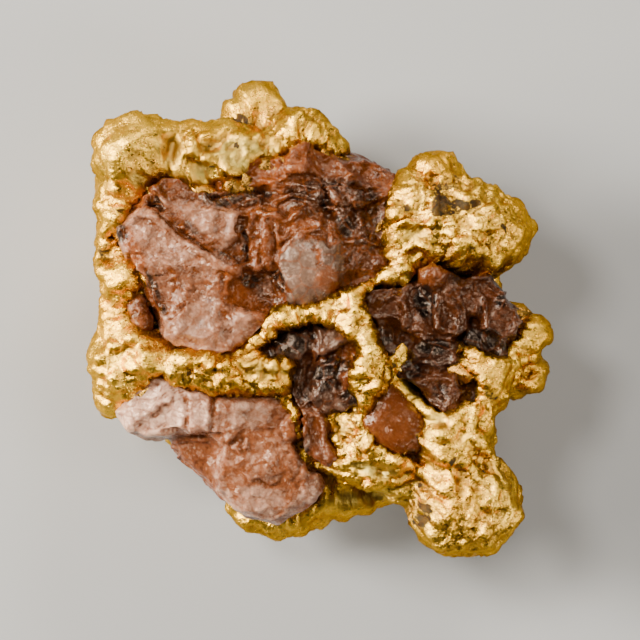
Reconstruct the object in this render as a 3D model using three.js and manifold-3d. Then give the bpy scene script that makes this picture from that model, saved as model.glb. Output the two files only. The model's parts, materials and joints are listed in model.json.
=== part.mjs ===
// A gold nugget with iron-stained quartz grown into it, lying on its back with its best face up.
// Millimetres. +X is right and +Y is away in a view from above, +Z is up, and z = 0 is the table.
// The origin is under the middle of the nugget. The whole piece is about 37 x 38 x 21 mm.
//
// The gold is one body: rounded lumps melted into each other, with round pits pressed in and one
// straight-walled socket for each mass of quartz. Each quartz mass is a cluster of blocks with
// flat broken faces, trimmed to the outline of its socket.
import * as THREE from "three";
import { ConvexGeometry } from "three/addons/geometries/ConvexGeometry.js";
import { mergeVertices } from "three/addons/utils/BufferGeometryUtils.js";
import Module from "manifold-3d";

// Driving dimensions
const goldHeart = [0, -0.5, 10]; // the middle of the flat disc that the gold's surface is measured from
const heartRadius = 6;
const goldReach = 22; // no gold is further than this from the disc
const goldMelt = 1.0; // how far two lumps of gold flow together
const goldRings = 16; // rows of triangles along each edge of the gold's icosahedron
const pitMelt = 0.35; // how soft the rims of the round moulds are
const crumpleDepth = 0.22; // how far the melted surface swells and sinks
const crumpleLength = 4.2; // from one swelling to the next
const socketGap = 0.3; // clear space between quartz and gold
const quartzCorners = 26; // corners of each block of quartz
const cornerLow = 0.88; // the least part of its full distance that a corner is at
const cornerRange = 0.14; // how much further than that it may be
const cornerSway = 0.7; // how far round a corner may be moved, in radians
const groundSize = 80; // the block that wears the underside flat
const groundDepth = 20;
const skyHeight = 30; // above everything

// How finely the gold's surface is found
const searchStep = 0.4;
const searchHalvings = 12;
const weldDistance = 1e-4;

// Lumps of gold: at is the middle, size the three half widths, turn the angle about Z in degrees.
const goldLumps = [
  { name: "core", at: [-0.5, 0.2, 10.6], size: [14.4, 12.4, 8.4], turn: 0 },
  { name: "left flank, upper", at: [-14.8, 7.6, 11.6], size: [3.0, 6.6, 6.0], turn: 0 },
  { name: "left flank, bulge", at: [-15.2, 3.3, 13.6], size: [2.4, 2.3, 4.0], turn: 0 },
  { name: "left flank, waist", at: [-15.1, 0.4, 12.4], size: [2.4, 2.4, 4.6], turn: 0 },
  { name: "left flank, lower", at: [-15.2, -3.2, 12.0], size: [3.2, 3.6, 5.6], turn: 8 },
  { name: "left flank, toe", at: [-16.2, -5.7, 11.4], size: [1.8, 2.0, 3.4], turn: 0 },
  { name: "left flank, knob", at: [-13.8, -2.9, 15.4], size: [1.7, 1.8, 2.6], turn: 0 },
  { name: "top left boss", at: [-14.9, 13.2, 15.2], size: [2.9, 3.0, 3.7], turn: 0 },
  { name: "top left ear", at: [-13.4, 13.9, 14.6], size: [2.2, 2.0, 3.3], turn: 0 },
  { name: "top left root", at: [-14.9, 11.0, 12.0], size: [2.7, 4.4, 4.8], turn: 0 },
  { name: "top band", at: [-8.0, 12.4, 12.6], size: [7.0, 2.9, 5.4], turn: 0 },
  { name: "top band, lip", at: [-9.0, 14.6, 15.2], size: [2.8, 1.1, 1.8], turn: 2 },
  { name: "top right knuckle", at: [-1.6, 14.5, 13.8], size: [2.3, 2.3, 3.2], turn: -20 },
  { name: "top right ridge", at: [0.3, 13.9, 13.0], size: [1.9, 1.2, 2.8], turn: -38 },
  { name: "far lobe", at: [-5.1, 16.7, 9.4], size: [2.4, 2.2, 2.8], turn: 0 },
  { name: "far ledge", at: [-7.6, 14.3, 8.8], size: [5.2, 1.8, 3.2], turn: 4 },
  { name: "upper right lobe", at: [11.2, 7.3, 14.5], size: [5.2, 3.7, 5.6], turn: -12 },
  { name: "upper right tip", at: [14.6, 7.3, 14.0], size: [2.0, 1.8, 3.2], turn: 0 },
  { name: "upper right knob", at: [9.0, 11.0, 14.8], size: [2.1, 2.4, 3.4], turn: -8 },
  { name: "upper right ridge", at: [12.0, 9.0, 14.6], size: [2.3, 1.7, 4.0], turn: -35 },
  { name: "upper right fold", at: [6.8, 8.2, 15.4], size: [1.9, 3.4, 4.4], turn: 0 },
  { name: "upper right root", at: [7.0, 5.6, 13.6], size: [3.0, 3.6, 5.2], turn: 0 },
  { name: "right shoulder", at: [9.4, -0.2, 10.4], size: [5.2, 6.2, 6.8], turn: 0 },
  { name: "right rim", at: [16.0, -1.5, 14.2], size: [2.0, 1.6, 2.8], turn: 18 },
  { name: "right rim, end", at: [17.0, -0.6, 14.2], size: [1.1, 0.8, 1.8], turn: -20 },
  { name: "right curl", at: [16.3, -4.1, 12.8], size: [1.7, 1.8, 2.8], turn: 0 },
  { name: "right neck", at: [13.1, -4.3, 14.2], size: [2.2, 3.3, 4.8], turn: 0 },
  { name: "lower right column", at: [10.3, -9.0, 13.4], size: [3.0, 4.4, 6.0], turn: 0 },
  { name: "column facet", at: [12.1, -8.4, 15.4], size: [1.5, 2.2, 3.2], turn: 0 },
  { name: "bulb", at: [11.6, -14.6, 13.8], size: [4.2, 4.1, 5.2], turn: 0 },
  { name: "bulb, fold", at: [10.1, -15.4, 13.8], size: [2.4, 2.4, 4.6], turn: 0 },
  { name: "bulb, shoulder", at: [12.7, -13.4, 13.4], size: [1.9, 2.2, 3.8], turn: 0 },
  { name: "small knob", at: [7.1, -13.2, 13.2], size: [1.5, 1.6, 2.8], turn: 0 },
  { name: "pebble seat", at: [5.6, -8.6, 14.2], size: [4.2, 4.0, 4.6], turn: 0 },
  { name: "lower fold", at: [3.2, -11.2, 13.4], size: [4.6, 1.8, 4.2], turn: -18 },
  { name: "bottom ledge", at: [-2.7, -14.5, 7.4], size: [4.5, 2.9, 3.4], turn: 6 },
  { name: "bottom shelf", at: [2.2, -13.4, 8.4], size: [5.0, 2.3, 3.4], turn: 14 },
  { name: "middle fork", at: [3.2, -2.0, 16.2], size: [2.3, 5.4, 4.6], turn: 6 },
  { name: "long band", at: [-8.2, -3.9, 15.0], size: [7.2, 1.9, 4.6], turn: -5 },
  { name: "short bridge", at: [-1.2, 0.3, 16.6], size: [3.0, 0.9, 3.2], turn: 8 },
  { name: "under lump, left", at: [-9.6, 5.0, 5.0], size: [6.4, 6.8, 5.5], turn: 20 },
  { name: "under lump, far", at: [0.3, 7.2, 6.4], size: [6.2, 4.8, 5.4], turn: 0 },
  { name: "under lump, right", at: [8.6, 4.2, 4.8], size: [5.6, 6.0, 5.2], turn: 0 },
  { name: "under lump, lower right", at: [7.6, -8.4, 5.2], size: [5.4, 5.6, 5.6], turn: 0 },
  { name: "under lump, bulb", at: [10.6, -12.0, 9.0], size: [3.2, 4.0, 4.4], turn: 0 },
  { name: "under lump, lower left", at: [-7.6, -5.6, 4.9], size: [6.2, 5.4, 5.4], turn: 25 },
  { name: "under lump, near", at: [-0.5, -8.6, 6.4], size: [5.0, 4.6, 5.2], turn: 0 },
];

// Round moulds left in the gold by grains that fell out: at is the middle and size the radius.
const goldPits = [
  { at: [-11.5, 13.2, 18.7], size: 1.6 },
  { at: [-9.3, 12.2, 18.7], size: 1.5 },
  { at: [-7.0, 13.6, 18.6], size: 1.5 },
  { at: [-4.4, 13.9, 18.2], size: 1.5 },
  { at: [-14.6, 10.4, 18.2], size: 1.4 },
  { at: [-17.0, 5.4, 17.0], size: 1.5 },
  { at: [17.0, -4.2, 15.8], size: 1.1 },
  { at: [6.6, 9.3, 20.0], size: 1.0 },
  { at: [10.7, -11.0, 20.2], size: 1.2 },
  { at: [13.2, 4.0, 14.0], size: 1.5 },
];

// Outlines of the quartz seen from above, each anticlockwise. Where quartz makes the silhouette
// the outline runs past it.
const quartzMasses = [
  {
    name: "quartz_upper",
    floor: 8.5,
    colour: 0x8d4a33,
    outline: [
      [-16.7, 6.7], [-15.3, 5.4], [-14.3, 3.6], [-13.4, 1.8], [-12.6, -0.4], [-11.6, -2.1], [-9.6, -2.2],
      [-7.4, -2.5], [-5.8, -2.0], [-4.7, -0.9], [-4.2, 0.3], [-2.9, 1.2], [-1.4, 1.2], [0.2, 1.5],
      [1.7, 2.2], [3.6, 3.1], [5.2, 3.9], [5.5, 4.7], [5.0, 6.0], [5.2, 8.2], [5.6, 10.1],
      [6.2, 12.0], [4.8, 13.0], [3.2, 13.2], [2.2, 12.8], [1.4, 13.0], [0.4, 13.5], [-1.2, 13.8],
      [-2.1, 13.2], [-3.2, 12.7], [-5.3, 12.5], [-5.9, 11.4], [-7.4, 11.0], [-9.0, 10.7], [-10.2, 10.6],
      [-11.6, 11.2], [-13.0, 10.9], [-13.6, 9.9], [-14.9, 9.2], [-15.2, 8.2],
    ],
    blocks: [
      { at: [-11.6, 4.6, 15.0], size: [4.4, 4.9, 5.6], turn: 20 },
      { at: [-8.9, 0.6, 14.6], size: [4.9, 3.8, 5.8], turn: -10 },
      { at: [-9.0, 8.3, 15.0], size: [4.9, 2.3, 5.4], turn: -28 },
      { at: [-13.4, 9.0, 13.6], size: [2.9, 2.6, 5.2], turn: 0 },
      { at: [-5.0, 6.9, 14.6], size: [2.2, 3.4, 5.2], turn: 0 },
      { at: [-1.2, 4.6, 15.0], size: [3.2, 3.9, 6.0], turn: 10 },
      { at: [-1.2, 10.8, 13.8], size: [6.8, 3.4, 5.2], turn: -4 },
      { at: [3.4, 7.5, 14.2], size: [3.0, 5.6, 5.2], turn: 6 },
      { at: [-4.8, 2.0, 12.4], size: [3.0, 3.4, 5.0], turn: 0 },
    ],
  },
  {
    name: "quartz_left_chip",
    floor: 12.0,
    colour: 0x9a5a42,
    outline: [
      [-15.2, 1.2], [-15.0, -0.2], [-14.2, -1.0], [-13.4, -0.7], [-13.2, 0.2], [-13.9, 1.7], [-14.6, 2.1],
    ],
    blocks: [{ at: [-14.2, 0.5, 14.4], size: [1.4, 2.0, 3.3], turn: 0 }],
  },
  {
    name: "quartz_lower",
    floor: 4.6,
    colour: 0xa0604a,
    outline: [
      [-16.6, -7.6], [-15.6, -9.2], [-13.8, -10.2], [-12.6, -10.4], [-11.4, -12.0], [-9.4, -13.0],
      [-8.0, -14.6], [-6.8, -15.2], [-5.6, -15.7], [-3.6, -15.8], [-2.2, -15.1], [-0.7, -14.6],
      [0.1, -13.6], [0.1, -12.6], [-0.7, -11.9], [-1.9, -11.3], [-2.0, -9.8], [-2.3, -8.2], [-2.5, -7.0],
      [-3.3, -5.9], [-5.8, -6.0], [-7.5, -5.8], [-8.8, -6.1], [-10.2, -5.4], [-11.4, -5.0], [-12.6, -4.4],
      [-13.7, -4.9], [-14.4, -5.8], [-15.4, -6.6],
    ],
    blocks: [
      { at: [-12.5, -6.9, 12.2], size: [3.6, 2.6, 4.8], turn: 0 },
      { at: [-9.5, -7.1, 13.4], size: [1.9, 2.1, 4.2], turn: 0 },
      { at: [-5.2, -8.2, 12.6], size: [4.4, 3.5, 5.0], turn: 0 },
      { at: [-4.2, -12.0, 10.4], size: [4.0, 4.6, 5.9], turn: 0 },
      { at: [-8.6, -10.0, 9.8], size: [5.0, 2.6, 5.2], turn: -38 },
      { at: [-1.4, -13.1, 10.6], size: [2.3, 2.6, 4.6], turn: 0 },
    ],
  },
  {
    name: "quartz_centre",
    floor: 11.0,
    colour: 0x5a3a34,
    outline: [
      [-5.4, -2.1], [-4.0, -2.9], [-2.2, -3.2], [-1.9, -4.2], [-2.3, -5.4], [-2.3, -6.4], [-1.5, -7.4],
      [-1.3, -9.2], [-0.9, -10.3], [-0.3, -11.0], [0.7, -11.4], [1.3, -10.6], [0.7, -9.3], [0.3, -8.2],
      [0.6, -7.1], [1.8, -7.0], [3.1, -6.8], [3.3, -5.8], [2.3, -5.4], [2.3, -4.4], [2.6, -3.6],
      [2.9, -2.7], [2.7, -1.8], [2.0, -1.0], [0.8, -0.5], [-1.0, -0.4], [-2.6, -0.7], [-4.0, -1.3],
    ],
    blocks: [
      { at: [-3.0, -2.0, 14.4], size: [3.1, 1.7, 4.6], turn: -8 },
      { at: [1.0, -2.2, 15.0], size: [2.4, 2.3, 5.0], turn: 0 },
      { at: [0.8, -5.0, 14.8], size: [3.1, 2.8, 5.0], turn: 0 },
      { at: [-1.2, -5.0, 14.0], size: [1.8, 3.2, 4.8], turn: 0 },
      { at: [-0.4, -8.4, 13.8], size: [1.4, 2.4, 4.6], turn: 0 },
      { at: [0.4, -10.4, 14.0], size: [1.4, 1.7, 3.9], turn: 0 },
    ],
  },
  {
    name: "quartz_right",
    floor: 9.5,
    colour: 0x55291f,
    outline: [
      [3.6, 2.2], [3.5, 1.0], [3.9, 0.0], [4.3, -0.9], [4.8, -2.3], [5.4, -2.9], [6.1, -2.6],
      [6.6, -2.0], [7.6, -1.5], [7.5, -2.0], [6.7, -3.2], [6.2, -4.3], [7.2, -4.7], [7.9, -5.6],
      [8.5, -6.7], [9.6, -7.2], [10.5, -7.1], [11.1, -6.6], [12.3, -6.3], [12.4, -5.0], [12.0, -4.1],
      [11.2, -3.8], [10.7, -3.0], [10.8, -2.1], [11.2, -1.7], [12.1, -2.2], [13.0, -2.5], [13.9, -3.0],
      [14.6, -2.8], [14.9, -2.1], [15.6, -1.4], [15.8, -0.4], [16.4, 0.5], [16.0, 1.8], [14.8, 3.2],
      [13.6, 3.4], [12.4, 3.5], [11.3, 3.3], [10.5, 3.7], [9.8, 4.2], [8.6, 4.4], [7.9, 4.1], [7.4, 3.2],
      [6.4, 2.8], [4.6, 2.7],
    ],
    blocks: [
      { at: [5.6, 0.4, 14.8], size: [2.7, 3.4, 5.0], turn: 0 },
      { at: [8.7, 2.9, 15.4], size: [1.9, 1.9, 4.6], turn: 0 },
      { at: [9.8, 0.3, 14.4], size: [3.7, 3.5, 5.8], turn: 0 },
      { at: [13.1, 0.6, 14.2], size: [2.8, 2.9, 5.0], turn: -15 },
      { at: [13.5, -1.8, 14.6], size: [1.9, 1.7, 4.0], turn: -30 },
      { at: [8.9, -2.8, 15.0], size: [2.8, 2.1, 4.8], turn: 0 },
      { at: [10.0, -5.2, 14.6], size: [2.9, 2.6, 5.2], turn: 0 },
    ],
  },
  {
    name: "quartz_pebble",
    floor: 12.5,
    colour: 0x8a4527,
    outline: [
      [3.4, -7.8], [3.5, -8.6], [4.3, -9.7], [5.4, -10.3], [6.6, -10.8], [7.7, -11.4], [7.6, -10.4],
      [7.9, -9.5], [8.2, -9.0], [7.9, -7.6], [7.2, -6.4], [6.3, -5.7], [5.5, -5.2], [5.0, -5.7],
      [4.1, -6.0], [3.9, -6.9],
    ],
    blocks: [{ at: [5.8, -8.2, 14.8], size: [3.1, 3.2, 5.0], turn: 35 }],
  },
];

// The same fraction from 0 to 1 each time for the same number.
function chance(number) {
  const wave = Math.sin(number * 12.9898) * 43758.5453;
  return wave - Math.floor(wave);
}

// A point in the axes of a lump that sits at a place and is turned about Z.
function inLump(lump, x, y, z) {
  const angle = (lump.turn * Math.PI) / 180;
  const dx = x - lump.at[0];
  const dy = y - lump.at[1];
  const across = dx * Math.cos(angle) + dy * Math.sin(angle);
  const along = dy * Math.cos(angle) - dx * Math.sin(angle);
  return [across, along, z - lump.at[2]];
}

// About how far a point is outside a lump: negative inside.
function outsideLump(lump, x, y, z) {
  const p = inLump(lump, x, y, z);
  const scaled = Math.hypot(p[0] / lump.size[0], p[1] / lump.size[1], p[2] / lump.size[2]);
  const slope = Math.hypot(p[0] / lump.size[0] ** 2, p[1] / lump.size[1] ** 2, p[2] / lump.size[2] ** 2);
  return slope > 0 ? (scaled * (scaled - 1)) / slope : -Math.min(...lump.size);
}

// The lower of two distances, with a fillet of the given width where they meet.
function meltTogether(a, b, width) {
  const blend = Math.max(width - Math.abs(a - b), 0) / width;
  return Math.min(a, b) - (blend * blend * width) / 4;
}

// Soft swellings all over the melted surface: two products of sines, the second finer and weaker.
function crumple(x, y, z) {
  const k = (2 * Math.PI) / crumpleLength;
  const first = Math.sin(k * x + 1.3 * Math.sin(k * 0.7 * y)) * Math.sin(k * y + 1.1 * Math.sin(k * 0.6 * z));
  const second = Math.sin(k * 1.9 * (x - z)) * Math.sin(k * 1.7 * (y + z));
  return crumpleDepth * (first + 0.6 * second);
}

// About how far a point is outside the gold, before the sockets are cut.
function outsideGold(x, y, z) {
  let distance = Infinity;
  for (const lump of goldLumps) {
    distance = distance === Infinity
      ? outsideLump(lump, x, y, z)
      : meltTogether(distance, outsideLump(lump, x, y, z), goldMelt);
  }
  for (const pit of goldPits) {
    const clear = Math.hypot(x - pit.at[0], y - pit.at[1], z - pit.at[2]) - pit.size;
    distance = -meltTogether(-distance, clear, pitMelt);
  }
  return distance + crumple(x, y, z);
}

// A closed geometry with shared vertices, and only their positions.
function weld(geometry) {
  geometry.deleteAttribute("normal");
  geometry.deleteAttribute("uv");
  return mergeVertices(geometry, weldDistance);
}

// Sends each vertex of a unit ball out from the heart's disc to the last crossing of the surface.
function goldGeometry() {
  const ball = weld(new THREE.IcosahedronGeometry(1, goldRings));
  const places = ball.attributes.position;
  const heart = new THREE.Vector3(...goldHeart);
  for (let i = 0; i < places.count; i++) {
    const way = new THREE.Vector3().fromBufferAttribute(places, i).normalize();
    const start = new THREE.Vector3(way.x, way.y, 0).multiplyScalar(heartRadius).add(heart);
    const outside = (r) => outsideGold(start.x + way.x * r, start.y + way.y * r, start.z + way.z * r);
    let outer = goldReach;
    while (outer > searchStep && outside(outer - searchStep) > 0) outer -= searchStep;
    let inner = outer - searchStep;
    for (let halving = 0; halving < searchHalvings; halving++) {
      const middle = (inner + outer) / 2;
      if (outside(middle) > 0) outer = middle;
      else inner = middle;
    }
    start.addScaledVector(way, inner);
    places.setXYZ(i, start.x, start.y, start.z);
  }
  return ball;
}

// A block of quartz: the hull of corners spread over a ball in an even spiral, each pushed in by a
// chance amount, then stretched, turned and put in its place.
function blockGeometry(block, seed) {
  const golden = Math.PI * (3 - Math.sqrt(5));
  const corners = [];
  for (let i = 0; i < quartzCorners; i++) {
    const height = 1 - (2 * i + 1) / quartzCorners;
    const angle = golden * i + cornerSway * chance(seed + i);
    const around = Math.sqrt(1 - height * height);
    const corner = new THREE.Vector3(around * Math.cos(angle), around * Math.sin(angle), height);
    corners.push(corner.multiplyScalar(cornerLow + cornerRange * chance(seed + 50 + i)));
  }
  const hull = new ConvexGeometry(corners);
  hull.scale(...block.size);
  hull.rotateZ((block.turn * Math.PI) / 180);
  hull.translate(...block.at);
  return hull;
}

// An upright prism over an outline that is moved outwards by a margin, from one height to another.
function prismGeometry(outline, margin, low, high) {
  const count = outline.length;
  const moved = outline.map((point, i) => {
    const before = outline[(i + count - 1) % count];
    const after = outline[(i + 1) % count];
    const first = new THREE.Vector2(point[1] - before[1], before[0] - point[0]).normalize();
    const second = new THREE.Vector2(after[1] - point[1], point[0] - after[0]).normalize();
    const corner = first.clone().add(second).normalize();
    const stretch = margin / Math.max(corner.dot(first), 0.6);
    return new THREE.Vector2(point[0] + corner.x * stretch, point[1] + corner.y * stretch);
  });
  const prism = new THREE.ExtrudeGeometry(new THREE.Shape(moved), { depth: high - low, bevelEnabled: false });
  prism.translate(0, 0, low);
  return prism;
}

const wasm = await Module();
wasm.setup();

// A manifold-3d solid from a closed geometry.
function solidFrom(geometry) {
  const welded = weld(geometry);
  return new wasm.Manifold(
    new wasm.Mesh({
      numProp: 3,
      vertProperties: new Float32Array(welded.attributes.position.array),
      triVerts: new Uint32Array(welded.index.array),
    }),
  );
}

// The largest separate body of a solid, without the crumbs that a cut can leave.
function mainBody(solid) {
  return solid.decompose().reduce((a, b) => (a.volume() > b.volume() ? a : b));
}

function meshFrom(solid, name, material) {
  const { vertProperties, triVerts } = solid.getMesh();
  const geometry = new THREE.BufferGeometry()
    .setAttribute("position", new THREE.BufferAttribute(new Float32Array(vertProperties), 3))
    .setIndex(new THREE.BufferAttribute(new Uint32Array(triVerts), 1));
  geometry.computeVertexNormals();
  const mesh = new THREE.Mesh(geometry, material);
  mesh.name = name;
  return mesh;
}

const nugget = new THREE.Group();

// The table's side of the world: everything below z = 0 is worn flat.
const ground = new THREE.BoxGeometry(groundSize, groundSize, groundDepth).translate(0, 0, -groundDepth / 2);
let gold = solidFrom(goldGeometry()).subtract(solidFrom(ground));

quartzMasses.forEach((mass, m) => {
  const socket = solidFrom(prismGeometry(mass.outline, socketGap / 2, mass.floor, skyHeight));
  gold = gold.subtract(socket);
  const blocks = mass.blocks.map((block, b) => solidFrom(blockGeometry(block, 100 * (m + 1) + 10 * b)));
  const cluster = blocks.reduce((joined, block) => joined.add(block));
  const inside = solidFrom(
    prismGeometry(mass.outline, -socketGap / 2, mass.floor + socketGap, skyHeight),
  );
  const quartz = mainBody(cluster.intersect(inside));
  const stone = new THREE.MeshStandardMaterial({ color: mass.colour, roughness: 0.35, metalness: 0 });
  nugget.add(meshFrom(quartz, mass.name, stone));
});

const metal = new THREE.MeshStandardMaterial({ color: 0xd9a441, roughness: 0.35, metalness: 1 });
nugget.add(meshFrom(mainBody(gold), "gold", metal));

export default nugget;
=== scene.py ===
import json
import math

import bpy
import numpy as np
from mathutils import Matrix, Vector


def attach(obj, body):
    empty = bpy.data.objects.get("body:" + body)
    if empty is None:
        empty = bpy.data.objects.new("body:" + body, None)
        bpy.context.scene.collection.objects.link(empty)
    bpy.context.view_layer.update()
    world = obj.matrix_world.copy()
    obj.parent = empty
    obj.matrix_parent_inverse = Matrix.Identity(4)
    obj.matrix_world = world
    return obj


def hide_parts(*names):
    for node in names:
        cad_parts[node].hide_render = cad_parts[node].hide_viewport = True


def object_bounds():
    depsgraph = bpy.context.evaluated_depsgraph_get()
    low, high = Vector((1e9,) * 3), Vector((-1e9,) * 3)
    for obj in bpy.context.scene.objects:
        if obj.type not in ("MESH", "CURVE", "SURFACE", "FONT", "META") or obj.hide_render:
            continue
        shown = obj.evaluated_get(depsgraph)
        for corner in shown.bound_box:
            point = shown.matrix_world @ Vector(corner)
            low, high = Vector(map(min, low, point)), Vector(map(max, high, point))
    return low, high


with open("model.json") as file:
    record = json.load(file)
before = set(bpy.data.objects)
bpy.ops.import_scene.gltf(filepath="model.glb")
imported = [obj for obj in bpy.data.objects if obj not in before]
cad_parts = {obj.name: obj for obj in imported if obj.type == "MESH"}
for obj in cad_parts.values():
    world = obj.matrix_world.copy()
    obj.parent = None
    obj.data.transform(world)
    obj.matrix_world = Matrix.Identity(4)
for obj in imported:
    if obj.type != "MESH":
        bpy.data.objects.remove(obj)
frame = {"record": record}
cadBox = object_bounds()
mm = 0.001

# Everything below is worked out in millimetres in the frame's axes and put into metres at the end.
# +Z is up through the nugget's best face, and the camera looks straight down on it.

view = {
    "distance": 400,  # camera above the middle of the nugget
    "midHeight": 12,  # height at which the frame's width is true
    "frameWidth": 51.2,
    "sensor": 36,
}

studio = {
    "floor": (0.36, 0.365, 0.37),
    "floorHalf": 1500,
    "world": (0.3, 0.3, 0.31),
    "worldStrength": 0.11,
    "lamps": [
        # place in mm, size in mm, watts, colour
        ((-320, 80, 230), 140, 3.7, (1.0, 0.94, 0.84)),
        ((100, 360, 260), 150, 1.5, (1.0, 0.94, 0.84)),
        ((320, -140, 240), 130, 1.0, (1.0, 0.92, 0.8)),
        ((-150, 110, 430), 100, 1.3, (1.0, 0.95, 0.86)),
        ((-380, 30, 110), 150, 2.2, (1.0, 0.93, 0.8)),
    ],
}


# The camera: its lens is the sensor's width times the distance over the frame's width
def makeCamera():
    data = bpy.data.cameras.new("camera")
    data.sensor_width = view["sensor"]
    data.lens = view["sensor"] * view["distance"] / view["frameWidth"]
    data.clip_start = 0.01
    data.clip_end = 10
    camera = bpy.data.objects.new("camera", data)
    camera.location = (0, 0, (view["distance"] + view["midHeight"]) * mm)
    bpy.context.collection.objects.link(camera)
    bpy.context.scene.camera = camera


# The lamps: round areas that are tipped and turned to face a point in the nugget's middle
def makeLamps():
    middle = np.array([0, 0, 10])
    for i, (place, size, watts, colour) in enumerate(studio["lamps"]):
        data = bpy.data.lights.new(f"lamp{i}", "AREA")
        data.shape = "DISK"
        data.size = size * mm
        data.energy = watts
        data.color = colour
        lamp = bpy.data.objects.new(f"lamp{i}", data)
        lamp.location = [c * mm for c in place]
        aim = middle - np.array(place)
        lamp.rotation_euler[0] = math.acos(-aim[2] / np.linalg.norm(aim))
        lamp.rotation_euler[2] = math.atan2(aim[1], aim[0]) - math.pi / 2
        bpy.context.collection.objects.link(lamp)


# Shader maths: a Wire is a socket that can be added, multiplied and so on
class Wire:
    def __init__(self, shop, socket):
        self.shop = shop
        self.socket = socket

    def maths(self, operation, *others):
        inputs = {0: self, **dict(enumerate(others, 1))}
        return self.shop.node("ShaderNodeMath", {"operation": operation}, inputs).wire(0)

    def __add__(self, other):
        return self.maths("ADD", other)

    def __radd__(self, other):
        return self.maths("ADD", other)

    def __sub__(self, other):
        return self.maths("SUBTRACT", other)

    def __rsub__(self, other):
        return (self * -1) + other

    def __mul__(self, other):
        return self.maths("MULTIPLY", other)

    def __rmul__(self, other):
        return self.maths("MULTIPLY", other)

    def __truediv__(self, other):
        return self.maths("DIVIDE", other)

    def clamp(self):
        return self.maths("MAXIMUM", 0).maths("MINIMUM", 1)

    # 0 below low, 1 above high, and straight between
    def ramp(self, low, high):
        return ((self - low) * (1 / (high - low))).clamp()


# A node whose outputs are given as wires
class Node:
    def __init__(self, shop, node):
        self.shop = shop
        self.node = node

    def wire(self, key):
        return Wire(self.shop, self.node.outputs[key])


# The nodes of one material
class Shop:
    def __init__(self, name):
        self.material = bpy.data.materials.new(name)
        self.material.use_nodes = True
        self.tree = self.material.node_tree
        self.tree.nodes.clear()

    # A node of a type: its settings are set first, and then its sockets get values or links
    def node(self, kind, settings=None, inputs=None):
        node = self.tree.nodes.new(kind)
        for key, value in (settings or {}).items():
            setattr(node, key, value)
        for key, value in (inputs or {}).items():
            if isinstance(value, Wire):
                self.tree.links.new(value.socket, node.inputs[key])
            else:
                node.inputs[key].default_value = value
        return Node(self, node)

    # Colour a at factor 0 and colour b at factor 1
    def mix(self, factor, a, b):
        sockets = {0: factor, 6: a, 7: b}
        for key, value in sockets.items():
            if isinstance(value, tuple):
                sockets[key] = (*value, 1)
        return self.node("ShaderNodeMix", {"data_type": "RGBA"}, sockets).wire(2)

    # Where a shaded point lies in its object
    def place(self):
        return self.node("ShaderNodeTexCoord").wire("Object")

    # Cloudy noise from 0 to 1 whose largest features have the given size in mm
    def noise(self, size, detail=3, rough=0.55, warp=0.0):
        inputs = {
            "Vector": self.place(), "Scale": 1 / (size * mm), "Detail": detail,
            "Roughness": rough, "Distortion": warp,
        }
        return self.node("ShaderNodeTexNoise", None, inputs).wire("Fac")

    # Distance to the middle of a cell, or to its edge, as a share of the cells' size
    def cells(self, size, feature="F1"):
        settings = {"feature": feature}
        inputs = {"Vector": self.place(), "Scale": 1 / (size * mm)}
        return self.node("ShaderNodeTexVoronoi", settings, inputs).wire("Distance")

    # Flat flakes, each tipped its own way: how far along a chance direction from its cell's middle
    def flakes(self, size):
        inputs = {"Vector": self.place(), "Scale": 1 / (size * mm)}
        cells = self.node("ShaderNodeTexVoronoi", {"feature": "F1"}, inputs)
        minus = {"operation": "SUBTRACT"}
        away = self.node("ShaderNodeVectorMath", minus, {0: self.place(), 1: cells.wire("Position")})
        tip = self.node("ShaderNodeVectorMath", minus, {0: cells.wire("Color"), 1: (0.5, 0.5, 0.5)})
        product = {"operation": "DOT_PRODUCT"}
        along = self.node("ShaderNodeVectorMath", product, {0: away.wire(0), 1: tip.wire(0)})
        return along.wire("Value") / (size * mm)

    # The four masks that a piece carries as one colour per vertex
    def masks(self):
        node = self.node("ShaderNodeAttribute", {"attribute_name": "masks"})
        parts = self.node("ShaderNodeSeparateColor", None, {0: node.wire("Color")})
        return parts.wire(0), parts.wire(1), parts.wire(2), node.wire("Alpha")

    # The normal tipped by a height of 0 to 1, where 1 stands for the given distance in mm
    def bump(self, height, distance):
        inputs = {"Height": height, "Distance": distance * mm, "Strength": 1.0}
        return self.node("ShaderNodeBump", None, inputs).wire("Normal")

    # Gives the shader its values and wires, and hands back the material
    def finish(self, values):
        shader = self.node("ShaderNodeBsdfPrincipled", None, values)
        self.node("ShaderNodeOutputMaterial", None, {"Surface": shader.wire(0)})
        return self.material


# A plain matt colour with a faint cloudiness
def plainMaterial(name, colour, roughness):
    shop = Shop(name)
    grain = shop.noise(14, 2)
    darker = tuple(c * 0.96 for c in colour)
    return shop.finish({"Base Color": shop.mix(grain, darker, colour), "Roughness": roughness})


# A number from 0 to 1 for each whole-number place, always the same for the same seed: the three
# numbers and the seed times large primes, mixed bit by bit and stirred by shifts
def scatter(i, j, k, seed):
    h = (i * 73856093) ^ (j * 19349663) ^ (k * 83492791) ^ (seed * 2654435761)
    h = (h & 0xFFFFFFFF).astype(np.uint64)
    h = ((h ^ (h >> np.uint64(15))) * np.uint64(2246822519)) & np.uint64(0xFFFFFFFF)
    h = ((h ^ (h >> np.uint64(13))) * np.uint64(3266489917)) & np.uint64(0xFFFFFFFF)
    return ((h ^ (h >> np.uint64(16))) & np.uint64(0xFFFFFF)).astype(float) / 0x1000000


# Value noise from -1 to 1: chance values on a lattice of the given size, blended by a smooth step
def softNoise(p, size, seed):
    q = p / size + 100
    base = np.floor(q).astype(np.int64)
    f = q - base
    f = f * f * f * (f * (f * 6 - 15) + 10)
    total = 0
    for corner in range(8):
        step = [(corner >> axis) & 1 for axis in range(3)]
        weight = 1
        for axis in range(3):
            weight = weight * (f[:, axis] if step[axis] else 1 - f[:, axis])
        total = total + weight * scatter(*(base[:, axis] + step[axis] for axis in range(3)), seed)
    return total * 2 - 1


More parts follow.
